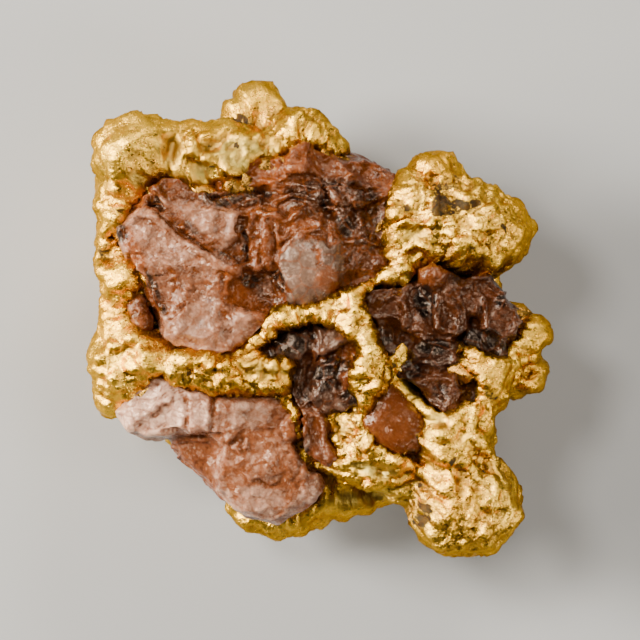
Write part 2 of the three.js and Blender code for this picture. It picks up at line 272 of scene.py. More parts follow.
# Several layers of soft noise, each half the size of the one before and "keep" times as strong
def layered(p, size, layers, seed, keep=0.5):
    total = 0
    weight = 1
    for layer in range(layers):
        total = total + weight * softNoise(p, size / 2 ** layer, seed + layer)
        weight = weight * keep
    return total


# Cellular noise: distances to the nearest and second nearest of one chance point in each lattice
# cube, and the three chance numbers that belong to the nearest
def cellNoise(p, size, seed, jitter=0.9):
    q = p / size + 100
    base = np.floor(q).astype(np.int64)
    first = np.full(len(p), 9.0)
    second = np.full(len(p), 9.0)
    chances = np.zeros((len(p), 3))
    for n in range(27):
        cube = base + np.array([n // 9 - 1, n // 3 % 3 - 1, n % 3 - 1])
        jitters = [scatter(cube[:, 0], cube[:, 1], cube[:, 2], seed + 11 * a) for a in range(3)]
        away = q - cube - 0.5 - jitter * (np.stack(jitters, 1) - 0.5)
        distance = np.linalg.norm(away, axis=1)
        nearer = distance < first
        second = np.where(nearer, first, np.minimum(second, distance))
        first = np.where(nearer, distance, first)
        chances[nearer] = np.stack(jitters, 1)[nearer]
    return first * size, second * size, chances


# 0 below low, 1 above high and an S-shaped curve between: three squares less two cubes
def smoothStep(x, low, high):
    t = np.clip((x - low) / (high - low), 0, 1)
    return t * t * (3 - 2 * t)


# The lower of two distances, with a fillet of the given width where they meet
def meltTogether(a, b, width):
    blend = np.maximum(width - np.abs(a - b), 0) / width
    return np.minimum(a, b) - blend * blend * width / 4


# Distance from points to an open or closed row of straight pieces
def distanceToPath(x, y, path, closed=False):
    points = list(path) + ([path[0]] if closed else [])
    best = np.full(x.shape, 1e9)
    for (ax, ay), (bx, by) in zip(points[:-1], points[1:]):
        lengthSquared = max((bx - ax) ** 2 + (by - ay) ** 2, 1e-9)
        t = np.clip(((x - ax) * (bx - ax) + (y - ay) * (by - ay)) / lengthSquared, 0, 1)
        best = np.minimum(best, np.hypot(x - ax - t * (bx - ax), y - ay - t * (by - ay)))
    return best


# Distance to an outline, negative inside it: the sign flips at each crossing of a ray to the right
def distanceToOutline(x, y, outline):
    inside = np.zeros(x.shape, bool)
    for (ax, ay), (bx, by) in zip(outline, outline[1:] + outline[:1]):
        crosses = (ay > y) != (by > y)
        with np.errstate(divide="ignore", invalid="ignore"):
            inside ^= crosses & (x < ax + (y - ay) / (by - ay) * (bx - ax))
    return distanceToPath(x, y, outline, True) * np.where(inside, -1, 1)


# A height map over the nugget seen from above, read by straight blending between its squares
class TopMap:
    step = 0.08
    half = 20.0

    def __init__(self, heightAt):
        side = np.arange(-self.half, self.half + self.step, self.step)
        x, y = np.meshgrid(side, side, indexing="ij")
        self.values = heightAt(x.ravel(), y.ravel()).reshape(x.shape)

    def __call__(self, x, y):
        last = self.values.shape[0] - 1.001
        u = np.clip((x + self.half) / self.step, 0, last)
        v = np.clip((y + self.half) / self.step, 0, last)
        i, j = u.astype(int), v.astype(int)
        fu, fv = u - i, v - j
        low = self.values[i, j] * (1 - fu) + self.values[i + 1, j] * fu
        high = self.values[i, j + 1] * (1 - fu) + self.values[i + 1, j + 1] * fu
        return low * (1 - fv) + high * fv


# Distance from the middle of a turned ellipse, as a share of its radius
def radiusIn(x, y, middle, size, turn):
    a = math.radians(turn)
    dx, dy = x - middle[0], y - middle[1]
    u = (dx * math.cos(a) + dy * math.sin(a)) / size[0]
    v = (dy * math.cos(a) - dx * math.sin(a)) / size[1]
    return np.hypot(u, v)


# A round spot: 1 in the middle and 0 past the edge, over the outer share that "softness" gives
def spot(x, y, middle, size, turn=0, softness=1.0):
    return 1 - smoothStep(radiusIn(x, y, middle, size, turn), 1 - softness, 1)


# A closed grid: two square sheets of directions, over and under, sewn along their rims.
# A square is bent to a disc, and the disc's radius runs from the pole to the rim's tilt.
def closedGrid(across, rimTilt):
    side = np.linspace(-1, 1, across + 1)
    u, v = np.meshgrid(side, side, indexing="ij")
    a = u * np.sqrt(1 - v * v / 2)
    b = v * np.sqrt(1 - u * u / 2)
    radius = np.clip(np.hypot(a, b), 1e-9, 1)
    spread = 0.45 * radius + 0.55 * 2 / math.pi * np.arcsin(radius)
    rim = (np.abs(u) > 1 - 1e-9) | (np.abs(v) > 1 - 1e-9)
    over = spread * math.radians(rimTilt)
    under = math.pi - spread * (math.pi - math.radians(rimTilt))
    sheets = []
    for tilt in (over, under):
        flat = np.sin(tilt) / radius
        sheets.append(np.stack([a * flat, b * flat, np.cos(tilt)], -1).reshape(-1, 3))
    count = (across + 1) ** 2
    underNumber = np.arange(count)
    inner = ~rim.ravel()
    underNumber[inner] = count + np.arange(inner.sum())
    directions = np.concatenate([sheets[0], sheets[1][inner]])
    number = np.arange(count).reshape(across + 1, across + 1)

    def quads(n, flip):
        corners = [n[:-1, :-1], n[1:, :-1], n[1:, 1:], n[:-1, 1:]]
        return np.stack([c.ravel() for c in (corners[::-1] if flip else corners)], 1)

    faces = np.concatenate([quads(number, False), quads(underNumber.reshape(number.shape), True)])
    directions /= np.linalg.norm(directions, axis=1, keepdims=True)
    return directions, faces


# Follows each direction from outside inwards, a distance at a time, to the last surface it meets
def castInwards(outside, heart, spread, directions, reach):
    start = np.array(heart) + directions * np.array([spread[0], spread[1], 0])
    t = np.full(len(directions), float(reach))
    moving = np.arange(len(directions))
    for _ in range(60):
        gap = outside(start[moving] + directions[moving] * t[moving, None])
        t[moving] = np.maximum(t[moving] - np.maximum(gap, 0) * 0.7 - 0.004, 0.3)
        moving = moving[(gap > 0.01) & (t[moving] > 0.3)]
        if len(moving) == 0:
            break
    for _ in range(4):
        t = np.maximum(t - 0.6 * np.clip(outside(start + directions * t[:, None]), -0.5, 0.5), 0.3)
    return start + directions * t[:, None]


# The cross product of each face's diagonals, so a large face weighs more
def faceNormals(points, faces):
    return np.cross(points[faces[:, 2]] - points[faces[:, 0]], points[faces[:, 3]] - points[faces[:, 1]])


# The sum of the normals of the faces around each point, at length 1
def vertexNormals(points, faces):
    perFace = faceNormals(points, faces)
    total = np.zeros_like(points)
    for corner in range(4):
        for axis in range(3):
            total[:, axis] += np.bincount(faces[:, corner], perFace[:, axis], len(points))
    return total / np.maximum(np.linalg.norm(total, axis=1, keepdims=True), 1e-12)


# The average of the points next to each point
def neighbourMean(values, faces):
    total = np.zeros_like(values)
    count = np.zeros(len(values))
    for a, b in ((0, 1), (1, 2), (2, 3), (3, 0)):
        for p, q in ((faces[:, a], faces[:, b]), (faces[:, b], faces[:, a])):
            count += np.bincount(p, minlength=len(values))
            for axis in range(values.shape[1]):
                total[:, axis] += np.bincount(p, values[q, axis], len(values))
    return total / count[:, None]


# How far each point lies in a hollow (above 0) or on a ridge (below 0): the way to its neighbours'
# middle, measured along its normal and averaged a little
def hollowness(points, faces, normals, rounds):
    lift = ((neighbourMean(points, faces) - points) * normals).sum(1)[:, None]
    for _ in range(rounds):
        lift = neighbourMean(lift, faces)
    return lift[:, 0]


# Evens out a mesh on its surface: each round moves every point half way to the middle of its
# neighbours and then along its normal back to the surface
def relax(points, faces, outside, rounds):
    for _ in range(rounds):
        points = 0.5 * points + 0.5 * neighbourMean(points, faces)
        gap = np.clip(outside(points), -0.3, 0.3) * 0.8
        points = points - vertexNormals(points, faces) * gap[:, None]
    return points


# Hews a surface into flat facets. The points are shared out to chance places in lattice cubes, each
# share gets the plane of its mean place and its mean normal tipped by chance, and every point is
# moved along its normal to the lowest of the planes around it, where far planes count less. Places
# that bend sharply are left as they are.
def hewn(points, faces, size, seed, tip, limit):
    normals = vertexNormals(points, faces)
    q = points / size + 100
    base = np.floor(q).astype(np.int64)
    steps = [np.array([n // 9 - 1, n // 3 % 3 - 1, n % 3 - 1]) for n in range(27)]
    nearest = np.full(len(points), 9.0)
    own = np.zeros(len(points), np.int64)
    keys, reaches = [], []
    for step in steps:
        cube = base + step
        jitters = np.stack([scatter(cube[:, 0], cube[:, 1], cube[:, 2], seed + 11 * a) for a in range(3)], 1)
        reach = np.linalg.norm(q - cube - 0.5 - 0.9 * (jitters - 0.5), axis=1)
        key = (cube[:, 0] * 1024 + cube[:, 1]) * 1024 + cube[:, 2]
        own = np.where(reach < nearest, key, own)
        nearest = np.minimum(nearest, reach)
        keys.append(key)
        reaches.append(reach)
    shares, index = np.unique(own, return_inverse=True)
    index = index.ravel()
    count = np.bincount(index)
    middle = np.stack([np.bincount(index, points[:, a]) / count for a in range(3)], 1)
    facing = np.stack([np.bincount(index, normals[:, a]) / count for a in range(3)], 1)
    tips = [scatter(shares, shares * 0 + a, shares * 0, seed) - 0.5 for a in range(3)]
    facing = facing + 2 * tip * np.stack(tips, 1)
    facing /= np.maximum(np.linalg.norm(facing, axis=1, keepdims=True), 1e-6)
    lowest = np.full(len(points), 9.0)
    for key, reach in zip(keys, reaches):
        spotted = np.minimum(np.searchsorted(shares, key), len(shares) - 1)
        square = (facing[spotted] * normals).sum(1)
        height = ((middle[spotted] - points) * facing[spotted]).sum(1) / np.maximum(square, 0.3)
        height = height + size * np.maximum(reach - 0.7, 0) ** 2
        lowest = np.where((shares[spotted] == key) & (square > 0.3), np.minimum(lowest, height), lowest)
    lowest = np.where(lowest > 8, 0, np.clip(lowest, -limit, limit))
    evened = normals
    for _ in range(10):
        evened = neighbourMean(evened, faces)
    level = smoothStep(np.linalg.norm(evened, axis=1), 0.84, 0.96)
    return normals * (lowest * level)[:, None]


# One object of the points and faces, in metres, with the masks as a colour at each point
def putMesh(name, points, faces, masks, material):
    mesh = bpy.data.meshes.new(name)
    mesh.vertices.add(len(points))
    mesh.vertices.foreach_set("co", (points * mm).astype(np.float32).ravel())
    mesh.loops.add(faces.size)
    mesh.loops.foreach_set("vertex_index", faces.astype(np.int32).ravel())
    mesh.polygons.add(len(faces))
    mesh.polygons.foreach_set("loop_start", np.arange(0, faces.size, 4, dtype=np.int32))
    mesh.update(calc_edges=True)
    mesh.validate()
    mesh.polygons.foreach_set("use_smooth", np.ones(len(faces), bool))
    colours = mesh.color_attributes.new("masks", "FLOAT_COLOR", "POINT")
    colours.data.foreach_set("color", np.clip(masks, 0, 1).astype(np.float32).ravel())
    mesh.materials.append(material)
    piece = bpy.data.objects.new(name, mesh)
    bpy.context.collection.objects.link(piece)
    return piece


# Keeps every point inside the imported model's box, with a little room to stand proud, and above 0
def keepInBox(points, room=0.25):
    low = np.array(cadBox[0]) / mm - room
    high = np.array(cadBox[1]) / mm + room
    low[2] = 0
    return np.clip(points, low, high)


# The gold. Lengths are in mm, angles in degrees and heights from the ground.
gold = {
    "heart": (0, -0.5, 10),  # the middle of the disc that its surface is measured from
    "heartRadius": 6,
    "reach": 22,  # how far from that disc the search for the surface starts
    "melt": 1.0,  # width of the fillets between lumps
    "pitMelt": 0.35,  # width of the fillets at the moulds' rims
    "crumpleDepth": 0.22,
    "crumpleLength": 4.2,
    "across": 220,  # squares across each sheet
    "rimTilt": 78,  # where the two sheets meet, from straight up
    "rounds": 24,  # of evening out the mesh
    "socketDepth": 4.4,  # how far the gold sinks under the quartz
    "facet": 0.7,  # size of the hewn facets
    "facetTip": 0.42,  # how far a facet may tip, as a slope
    "facetDepth": 0.18,  # the most that hewing moves a point
    "base": (1.0, 0.6, 0.06),
    "deep": (0.88, 0.44, 0.025),
    # a lighter, yellower gold in fine flecks: painted highlight
    "paintedGlint": (1.0, 0.67, 0.08),
    "tarnish": (0.4, 0.38, 0.12),
    # darker golds for the steep sides: a painted dark reflection
    "flankShade": ((0.42, 0.19, 0.022), (0.16, 0.06, 0.009)),
    # brown of the hollows: iron dirt, and painted shade
    "creviceDirtAndShade": (0.34, 0.17, 0.035),
    "freckles": (0.25, 0.08, 0.02),
    "stain": ((0.01, 0.009, 0.012), (0.045, 0.016, 0.006)),
    "lumps": [
        # name, middle, half widths, turn in degrees: these have broad tops
        ("left flank, upper", (-14.8, 7.6, 11.6), (3.0, 6.6, 6.0), 0),
        ("left flank, bulge", (-15.2, 3.3, 13.6), (2.4, 2.3, 4.0), 0),
        ("left flank, waist", (-15.1, 0.4, 12.4), (2.4, 2.4, 4.6), 0),
        ("left flank, lower", (-15.2, -3.2, 12.0), (3.2, 3.6, 5.6), 8),
        ("left flank, toe", (-16.2, -5.7, 11.4), (1.8, 2.0, 3.4), 0),
        ("left flank, knob", (-13.8, -2.9, 15.4), (1.7, 1.8, 2.6), 0),
        ("top left boss", (-14.9, 13.2, 15.2), (2.9, 3.0, 3.7), 0),
        ("top left ear", (-13.4, 13.9, 14.6), (2.2, 2.0, 3.3), 0),
        ("top left root", (-14.9, 11.0, 12.0), (2.7, 4.4, 4.8), 0),
        ("top band", (-8.0, 12.4, 12.6), (7.0, 2.9, 5.4), 0),
        ("top band, lip", (-9.0, 14.6, 15.2), (2.8, 1.1, 1.8), 2),
        ("top right knuckle", (-1.6, 14.5, 13.8), (2.3, 2.3, 3.2), -20),
        ("top right ridge", (0.3, 13.9, 13.0), (1.9, 1.2, 2.8), -38),
        ("far lobe", (-5.1, 16.7, 9.4), (2.4, 2.2, 2.8), 0),
        ("far ledge", (-7.6, 14.3, 8.8), (5.2, 1.8, 3.2), 4),
        ("upper right lobe", (11.2, 7.3, 14.5), (5.2, 3.7, 5.6), -12),
        ("upper right tip", (14.6, 7.3, 14.0), (2.0, 1.8, 3.2), 0),
        ("upper right knob", (9.0, 11.0, 14.8), (2.1, 2.4, 3.4), -8),
        ("upper right ridge", (12.0, 9.0, 14.6), (2.3, 1.7, 4.0), -35),
        ("upper right fold", (6.8, 8.2, 15.4), (1.9, 3.4, 4.4), 0),
        ("upper right root", (7.0, 5.6, 13.6), (3.0, 3.6, 5.2), 0),
        ("right shoulder", (9.4, -0.2, 10.4), (5.2, 6.2, 6.8), 0),
        ("right rim", (16.0, -1.5, 14.2), (2.0, 1.6, 2.8), 18),
        ("right rim, end", (17.0, -0.6, 14.2), (1.1, 0.8, 1.8), -20),
        ("right curl", (16.3, -4.1, 12.8), (1.7, 1.8, 2.8), 0),
        ("right neck", (13.1, -4.3, 14.2), (2.2, 3.3, 4.8), 0),
        ("lower right column", (10.3, -9.0, 13.4), (3.0, 4.4, 6.0), 0),
        ("column facet", (12.1, -8.4, 15.4), (1.5, 2.2, 3.2), 0),
        ("bulb", (11.6, -14.6, 13.8), (4.2, 4.1, 5.2), 0),
        ("bulb, fold", (10.1, -15.4, 13.8), (2.4, 2.4, 4.6), 0),
        ("bulb, shoulder", (12.7, -13.4, 13.4), (1.9, 2.2, 3.8), 0),
        ("small knob", (7.1, -13.2, 13.2), (1.5, 1.6, 2.8), 0),
        ("pebble seat", (5.6, -8.6, 14.2), (4.2, 4.0, 4.6), 0),
        ("lower fold", (3.2, -11.2, 13.4), (4.6, 1.8, 4.2), -18),
        ("bottom ledge", (-2.7, -14.5, 7.4), (4.5, 2.9, 3.4), 6),
        ("bottom shelf", (2.2, -13.4, 8.4), (5.0, 2.3, 3.4), 14),
        ("middle fork", (3.2, -2.0, 16.2), (2.3, 5.4, 4.6), 6),
        ("long band", (-8.2, -3.9, 15.0), (7.2, 1.9, 4.6), -5),
        ("short bridge", (-1.2, 0.3, 16.6), (3.0, 0.9, 3.2), 8),
    ],
    "innerLumps": [
        # name, middle, half widths, turn in degrees: plain ellipsoids
        ("core", (-0.5, 0.2, 10.6), (14.4, 12.4, 8.4), 0),
        ("under lump, left", (-9.6, 5.0, 5.0), (6.4, 6.8, 5.5), 20),
        ("under lump, far", (0.3, 7.2, 6.4), (6.2, 4.8, 5.4), 0),
        ("under lump, right", (8.6, 4.2, 4.8), (5.6, 6.0, 5.2), 0),
        ("under lump, lower right", (7.6, -8.4, 5.2), (5.4, 5.6, 5.6), 0),
        ("under lump, bulb", (10.6, -12.0, 9.0), (3.2, 4.0, 4.4), 0),
        ("under lump, lower left", (-7.6, -5.6, 4.9), (6.2, 5.4, 5.4), 25),
        ("under lump, near", (-0.5, -8.6, 6.4), (5.0, 4.6, 5.2), 0),
    ],
    "moulds": [
        # middle and radius of the round hollows where grains fell out
        ((-17.0, 5.4, 17.0), 1.5),
        ((17.0, -4.2, 15.8), 1.1),
        ((13.2, 4.0, 14.0), 1.5),
    ],
    "hollows": [
        # x, y, half widths, turn, depth: scooped out of the top, sharp at the edge
        (-11.8, 13.4, 0.95, 1.5, 10, 0.9), (-12.0, 12.0, 0.7, 0.6, 0, 0.5),
        (-9.5, 11.8, 0.85, 0.85, 0, 0.8), (-8.5, 11.85, 0.5, 0.5, 0, 0.5),
        (-8.7, 13.9, 0.85, 0.65, -10, 0.7), (-6.7, 13.8, 1.0, 0.65, 0, 0.7),
        (-5.3, 13.75, 0.6, 0.55, 0, 0.5), (-3.9, 13.9, 0.85, 0.55, 8, 0.6),
        (-7.0, 12.5, 1.9, 0.5, -14, 0.45), (-14.3, 11.1, 0.65, 0.75, 10, 0.6),
        (-14.1, 12.8, 0.65, 0.4, -20, 0.45), (-15.7, 8.8, 0.4, 0.6, -25, 0.45),
        (-16.9, 5.3, 0.8, 0.9, 0, 0.7), (-15.9, 0.7, 0.7, 0.8, 0, 0.4), (-12.4, -3.3, 0.5, 1.0, 20, 0.35),
        (-10.2, -4.4, 0.65, 0.5, -30, 0.9), (-9.1, -5.0, 0.7, 0.4, -40, 0.5),
        (-8.3, -5.5, 0.5, 0.45, 0, 0.7), (-12.4, -4.2, 0.35, 0.5, 0, 0.5),
        (2.0, -8.5, 0.75, 0.75, 0, 0.7), (5.5, -4.0, 0.45, 0.6, -35, 0.7), (4.4, -4.2, 0.5, 0.8, 0, 0.3),
        (7.1, -5.6, 1.3, 0.5, -55, 0.35), (4.4, -11.9, 2.7, 0.55, -14, 0.6),
        (7.5, 6.9, 1.1, 0.95, 0, 0.5), (6.4, 9.6, 0.9, 0.8, 20, 0.35), (7.6, 8.1, 1.4, 0.4, -8, 0.55),
        (6.6, 8.9, 0.7, 0.22, -28, 0.8), (12.5, 4.5, 1.2, 0.7, 15, 1.0), (13.1, -3.3, 0.5, 1.1, -20, 0.4),
        (11.7, -2.8, 0.8, 0.8, 0, 0.3), (13.0, -8.0, 0.8, 1.3, 0, 0.6), (9.4, -7.8, 0.9, 0.6, -20, 0.35),
        (10.6, -11.1, 0.55, 0.25, 55, 0.7), (12.2, -10.9, 0.9, 0.6, -40, 0.3),
        (9.7, -14.1, 0.8, 0.18, 10, 0.35), (10.6, -14.9, 1.9, 0.45, -24, 0.35),
        (13.4, -15.4, 0.8, 0.7, 0, 0.25), (3.2, -14.1, 2.2, 0.5, 8, 0.5), (17.0, -4.2, 0.5, 0.6, 0, 0.7),
        (-5.6, 16.0, 1.3, 0.4, 22, 0.6),
    ],
    "knobs": [
        # x, y, half widths, turn, height: rounded, raised on the top
        (-15.6, 13.7, 1.6, 1.6, 0, 0.5), (-10.8, 12.85, 0.65, 0.65, 0, 0.5),
        (-16.2, 11.1, 0.7, 0.8, 0, 0.4), (-17.1, 10.3, 0.7, 0.7, 0, 0.4), (-15.4, 11.6, 0.4, 0.5, 0, 0.3),
        (-13.4, 11.7, 0.5, 0.5, 0, 0.45), (-16.8, 8.6, 0.7, 0.7, 0, 0.4), (-16.3, 7.2, 0.5, 0.6, 0, 0.35),
        (-15.3, 3.3, 1.1, 1.4, 0, 0.5), (-15.0, -1.6, 0.9, 0.7, -20, 0.5),
        (-13.8, -2.9, 1.0, 1.0, 0, 0.5), (-14.1, -2.0, 0.6, 0.6, 0, 0.4), (-6.8, 17.0, 0.8, 0.8, 0, 0.4),
        (-4.0, 16.1, 0.7, 0.6, 0, 0.4), (-1.9, 16.3, 0.8, 0.6, 0, 0.3), (9.8, -9.0, 1.0, 0.8, -20, 0.4),
        (3.7, -10.2, 1.2, 0.6, -20, 0.35), (12.1, 7.9, 0.9, 0.7, -30, 0.3),
        (12.3, 6.6, 0.9, 0.6, 0, 0.25), (13.9, 4.1, 0.6, 0.5, 0, 0.4), (6.6, -2.2, 0.6, 0.6, 0, 0.4),
        (8.0, -13.4, 0.5, 0.7, 0, 0.3),
    ],
    "ridges": [
        # height, half width and the line that a sharp crest follows
        (0.55, 0.42, ((-10.3, 14.8), (-10.0, 14.2), (-9.6, 13.2), (-8.2, 12.5), (-6.9, 12.0),
         (-5.6, 11.8))),
        (0.35, 0.35, ((-9.4, 14.5), (-8.2, 14.6), (-6.4, 14.7), (-4.7, 14.5), (-3.5, 14.5),
         (-2.0, 14.9))),
        (0.3, 0.35, ((-13.0, 15.3), (-12.5, 13.8), (-12.8, 13.0), (-13.5, 12.4))),
        (0.5, 0.5, ((-11.6, -2.7), (-9.8, -3.0), (-7.0, -3.4), (-4.4, -3.4), (-2.4, -3.4))),
        (0.35, 0.3, ((-11.2, -2.9), (-10.2, -4.0), (-9.0, -4.8), (-7.6, -5.4))),
        (0.35, 0.3, ((-9.4, -3.1), (-8.4, -4.2), (-7.0, -4.9), (-5.4, -5.6))),
        (0.3, 0.3, ((-7.4, -3.6), (-6.2, -4.6), (-4.6, -5.3), (-3.0, -5.5))),
        (0.4, 0.35, ((10.0, 7.9), (10.7, 6.2), (11.05, 5.2))),
        (0.3, 0.3, ((8.8, 9.9), (8.8, 8.8), (9.0, 8.0), (8.6, 7.0), (8.9, 6.2))),
        (0.3, 0.35, ((12.2, 9.6), (13.6, 8.8), (15.0, 7.6))),
        (0.3, 0.3, ((5.4, 8.0), (6.6, 7.9), (8.0, 7.8))),
        (0.45, 0.35, ((10.4, -7.7), (11.2, -8.4), (11.9, -9.3), (13.1, -10.2), (13.9, -11.2))),
        (0.35, 0.3, ((12.3, -6.6), (12.1, -7.8), (12.2, -9.0))),
        (0.4, 0.3, ((-1.2, -10.8), (0.3, -11.9), (2.1, -12.4), (4.4, -13.2), (6.2, -12.9))),
        (0.3, 0.3, ((2.4, -10.9), (4.4, -11.2), (6.6, -11.3))),
        (0.35, 0.3, ((6.6, -12.3), (7.0, -13.2), (7.4, -14.4))),
        (0.35, 0.3, ((3.4, -0.6), (3.6, -2.2), (3.9, -4.0), (4.8, -5.2))),
        (0.35, 0.3, ((5.0, -3.2), (6.2, -2.9), (7.4, -1.8))),
        (0.3, 0.3, ((8.8, -14.4), (10.4, -15.2), (12.2, -16.0))),
        (0.3, 0.3, ((11.2, -1.9), (12.4, -2.6), (13.2, -4.4), (12.9, -6.0))),
        (0.35, 0.3, ((14.6, -3.4), (15.6, -3.0), (16.8, -3.2), (17.4, -4.2), (16.8, -5.2),
         (15.6, -5.2))),
    ],
    "holes": [
        # x, y, radius: small stained pits
        (-8.5, 11.85, 0.4), (-8.75, 13.75, 0.2), (-6.6, 13.75, 0.28), (-12.8, 13.0, 0.2),
        (-12.3, 13.6, 0.15), (-15.8, 8.55, 0.22), (-10.3, -4.2, 0.35), (-8.2, -3.9, 0.25),
        (-7.6, -4.0, 0.2), (10.3, -8.4, 0.22), (9.8, -9.7, 0.12), (12.8, -11.9, 0.16),
        (14.4, -12.4, 0.14), (13.0, -13.5, 0.12), (7.95, -13.1, 0.35), (8.2, -14.0, 0.2),
        (11.7, -16.1, 0.3), (14.8, -16.7, 0.15), (9.3, -16.6, 0.14), (12.9, -14.9, 0.12),
        (10.9, -13.1, 0.12), (11.9, -17.2, 0.14), (13.5, -5.9, 0.3), (5.0, -10.8, 0.14), (8.9, 7.1, 0.22),
        (5.8, -3.6, 0.3), (7.1, -6.9, 0.15), (3.0, 1.0, 0.15), (2.3, -0.4, 0.18), (12.0, 5.6, 0.18),
        (13.7, 6.4, 0.12), (6.2, 5.2, 0.2), (8.0, 4.8, 0.2), (9.8, 4.9, 0.25), (11.6, -3.2, 0.14),
    ],
    "beaded": [
        # x, y, half widths: where the surface is a crust of small beads
        (-16.5, -4.2, 2.6, 3.8), (-16.4, 8.5, 1.8, 3.6), (-16.6, 1.5, 1.6, 2.0), (-5.0, 12.8, 3.2, 0.8),
        (-2.4, -16.0, 5.0, 1.6), (17.2, -0.6, 1.6, 1.4),
    ],
    "calm": [
        # x, y, half widths: where only the placed relief shows
        (-8.0, 12.9, 5.6, 2.4), (-15.2, 12.6, 2.4, 3.2), (-15.4, 3.4, 1.4, 1.6), (12.6, -4.4, 2.2, 2.6),
        (7.2, -5.8, 1.4, 1.6), (7.6, 6.9, 1.3, 1.2), (-12.4, -3.6, 0.9, 0.9), (12.6, -8.2, 1.6, 1.6),
    ],
    "foil": [
        # x, y, half widths: where it is crinkled like foil
        (-7.0, -4.2, 5.6, 1.9), (2.6, 0.6, 1.9, 2.2), (4.2, -4.4, 2.0, 1.8), (-1.2, 0.3, 2.6, 0.8),
        (7.8, 4.6, 3.4, 1.6), (-0.6, 15.2, 2.2, 1.8), (2.4, -9.6, 2.2, 2.2), (8.6, 10.6, 1.6, 2.0),
        (7.2, -13.2, 1.4, 1.6), (13.6, -13.0, 1.8, 4.0), (11.6, 7.6, 4.4, 3.8), (11.4, -14.6, 3.8, 3.6),
    ],
    "stains": [
        # x, y, half widths, turn, strength: dark iron stain on the surface
        (9.5, 9.1, 0.65, 0.6, 0, 1.0), (9.3, 8.4, 0.4, 0.35, 0, 0.9), (9.5, 10.3, 0.6, 0.5, 20, 0.7),
        (10.2, 11.0, 0.9, 0.6, -30, 0.5), (10.7, 8.8, 0.9, 0.45, 30, 0.8), (11.8, 9.0, 0.8, 0.3, 15, 0.9),
        (14.3, 7.4, 0.85, 0.18, -62, 0.7), (6.6, 8.9, 0.8, 0.3, -28, 0.8),
        (10.6, -11.1, 0.5, 0.25, 55, 0.8), (7.95, -15.8, 0.55, 0.45, 20, 1.0),
        (8.35, -14.85, 0.75, 0.28, -30, 1.0), (-5.9, 16.0, 0.9, 0.35, 10, 0.8),
        (-4.8, 16.6, 0.5, 0.3, 40, 0.6), (11.0, 3.9, 0.6, 0.3, 0, 0.4), (-16.9, 5.3, 0.7, 0.7, 0, 0.6),
        (2.7, -8.0, 0.25, 1.0, -15, 0.6), (13.5, -5.9, 0.5, 0.35, 0, 0.6),
        (9.9, 9.7, 1.4, 1.6, -30, 0.35),
    ],
    "greens": [
        # x, y, half widths, turn, strength: a thin green tarnish
        (-11.8, 13.4, 1.3, 1.8, 0, 0.8), (-9.4, 11.8, 1.0, 1.0, 0, 0.9), (-6.6, 13.6, 4.4, 1.2, 0, 0.75),
        (-6.6, 12.5, 2.2, 0.8, -14, 0.8), (-14.3, 11.1, 0.9, 0.9, 0, 0.8), (7.4, 6.9, 1.0, 0.9, 0, 0.45),
        (7.2, -5.8, 0.6, 1.6, 35, 0.5), (4.4, -11.9, 2.8, 0.7, -14, 0.8), (9.4, -7.8, 1.2, 0.8, 0, 0.5),
        (-4.4, -3.9, 2.4, 1.0, -5, 0.4), (3.4, -14.2, 3.2, 0.8, 8, 0.7), (1.6, -8.6, 0.9, 0.9, 0, 0.4),
    ],
}


# About how far points are outside a lump: its scaled radius less 1, over that radius's slope. The
# scaled radius is an ellipsoid's, or for a broad one the cube root of flat radius and height cubed.
def outsideLump(p, middle, size, turn, broad):
    a = math.radians(turn)
    dx, dy, dz = p[:, 0] - middle[0], p[:, 1] - middle[1], p[:, 2] - middle[2]
    u = (dx * math.cos(a) + dy * math.sin(a)) / size[0]
    v = (dy * math.cos(a) - dx * math.sin(a)) / size[1]
    w = dz / size[2]
    if not broad:
        scaled = np.sqrt(u * u + v * v + w * w)
        slope = np.sqrt((u / size[0]) ** 2 + (v / size[1]) ** 2 + (w / size[2]) ** 2)
        return scaled * (scaled - 1) / np.maximum(slope, 1e-6)
    flat = np.sqrt(u * u + v * v)
    scaled = np.cbrt(flat ** 3 + np.abs(w) ** 3)
    slope = np.sqrt(flat * flat * ((u / size[0]) ** 2 + (v / size[1]) ** 2) + (w * w / size[2]) ** 2)
    return scaled * scaled * (scaled - 1) / np.maximum(slope, 1e-6)


# Soft swellings: products of two sines along turned and bent axes, a coarse and a finer one
def crumple(p):
    k = 2 * math.pi / gold["crumpleLength"]
    x, y, z = p.T
    first = np.sin(k * x + 1.3 * np.sin(k * 0.7 * y)) * np.sin(k * y + 1.1 * np.sin(k * 0.6 * z))
    second = np.sin(k * 1.9 * (x - z)) * np.sin(k * 1.7 * (y + z))
    return gold["crumpleDepth"] * (first + 0.6 * second)


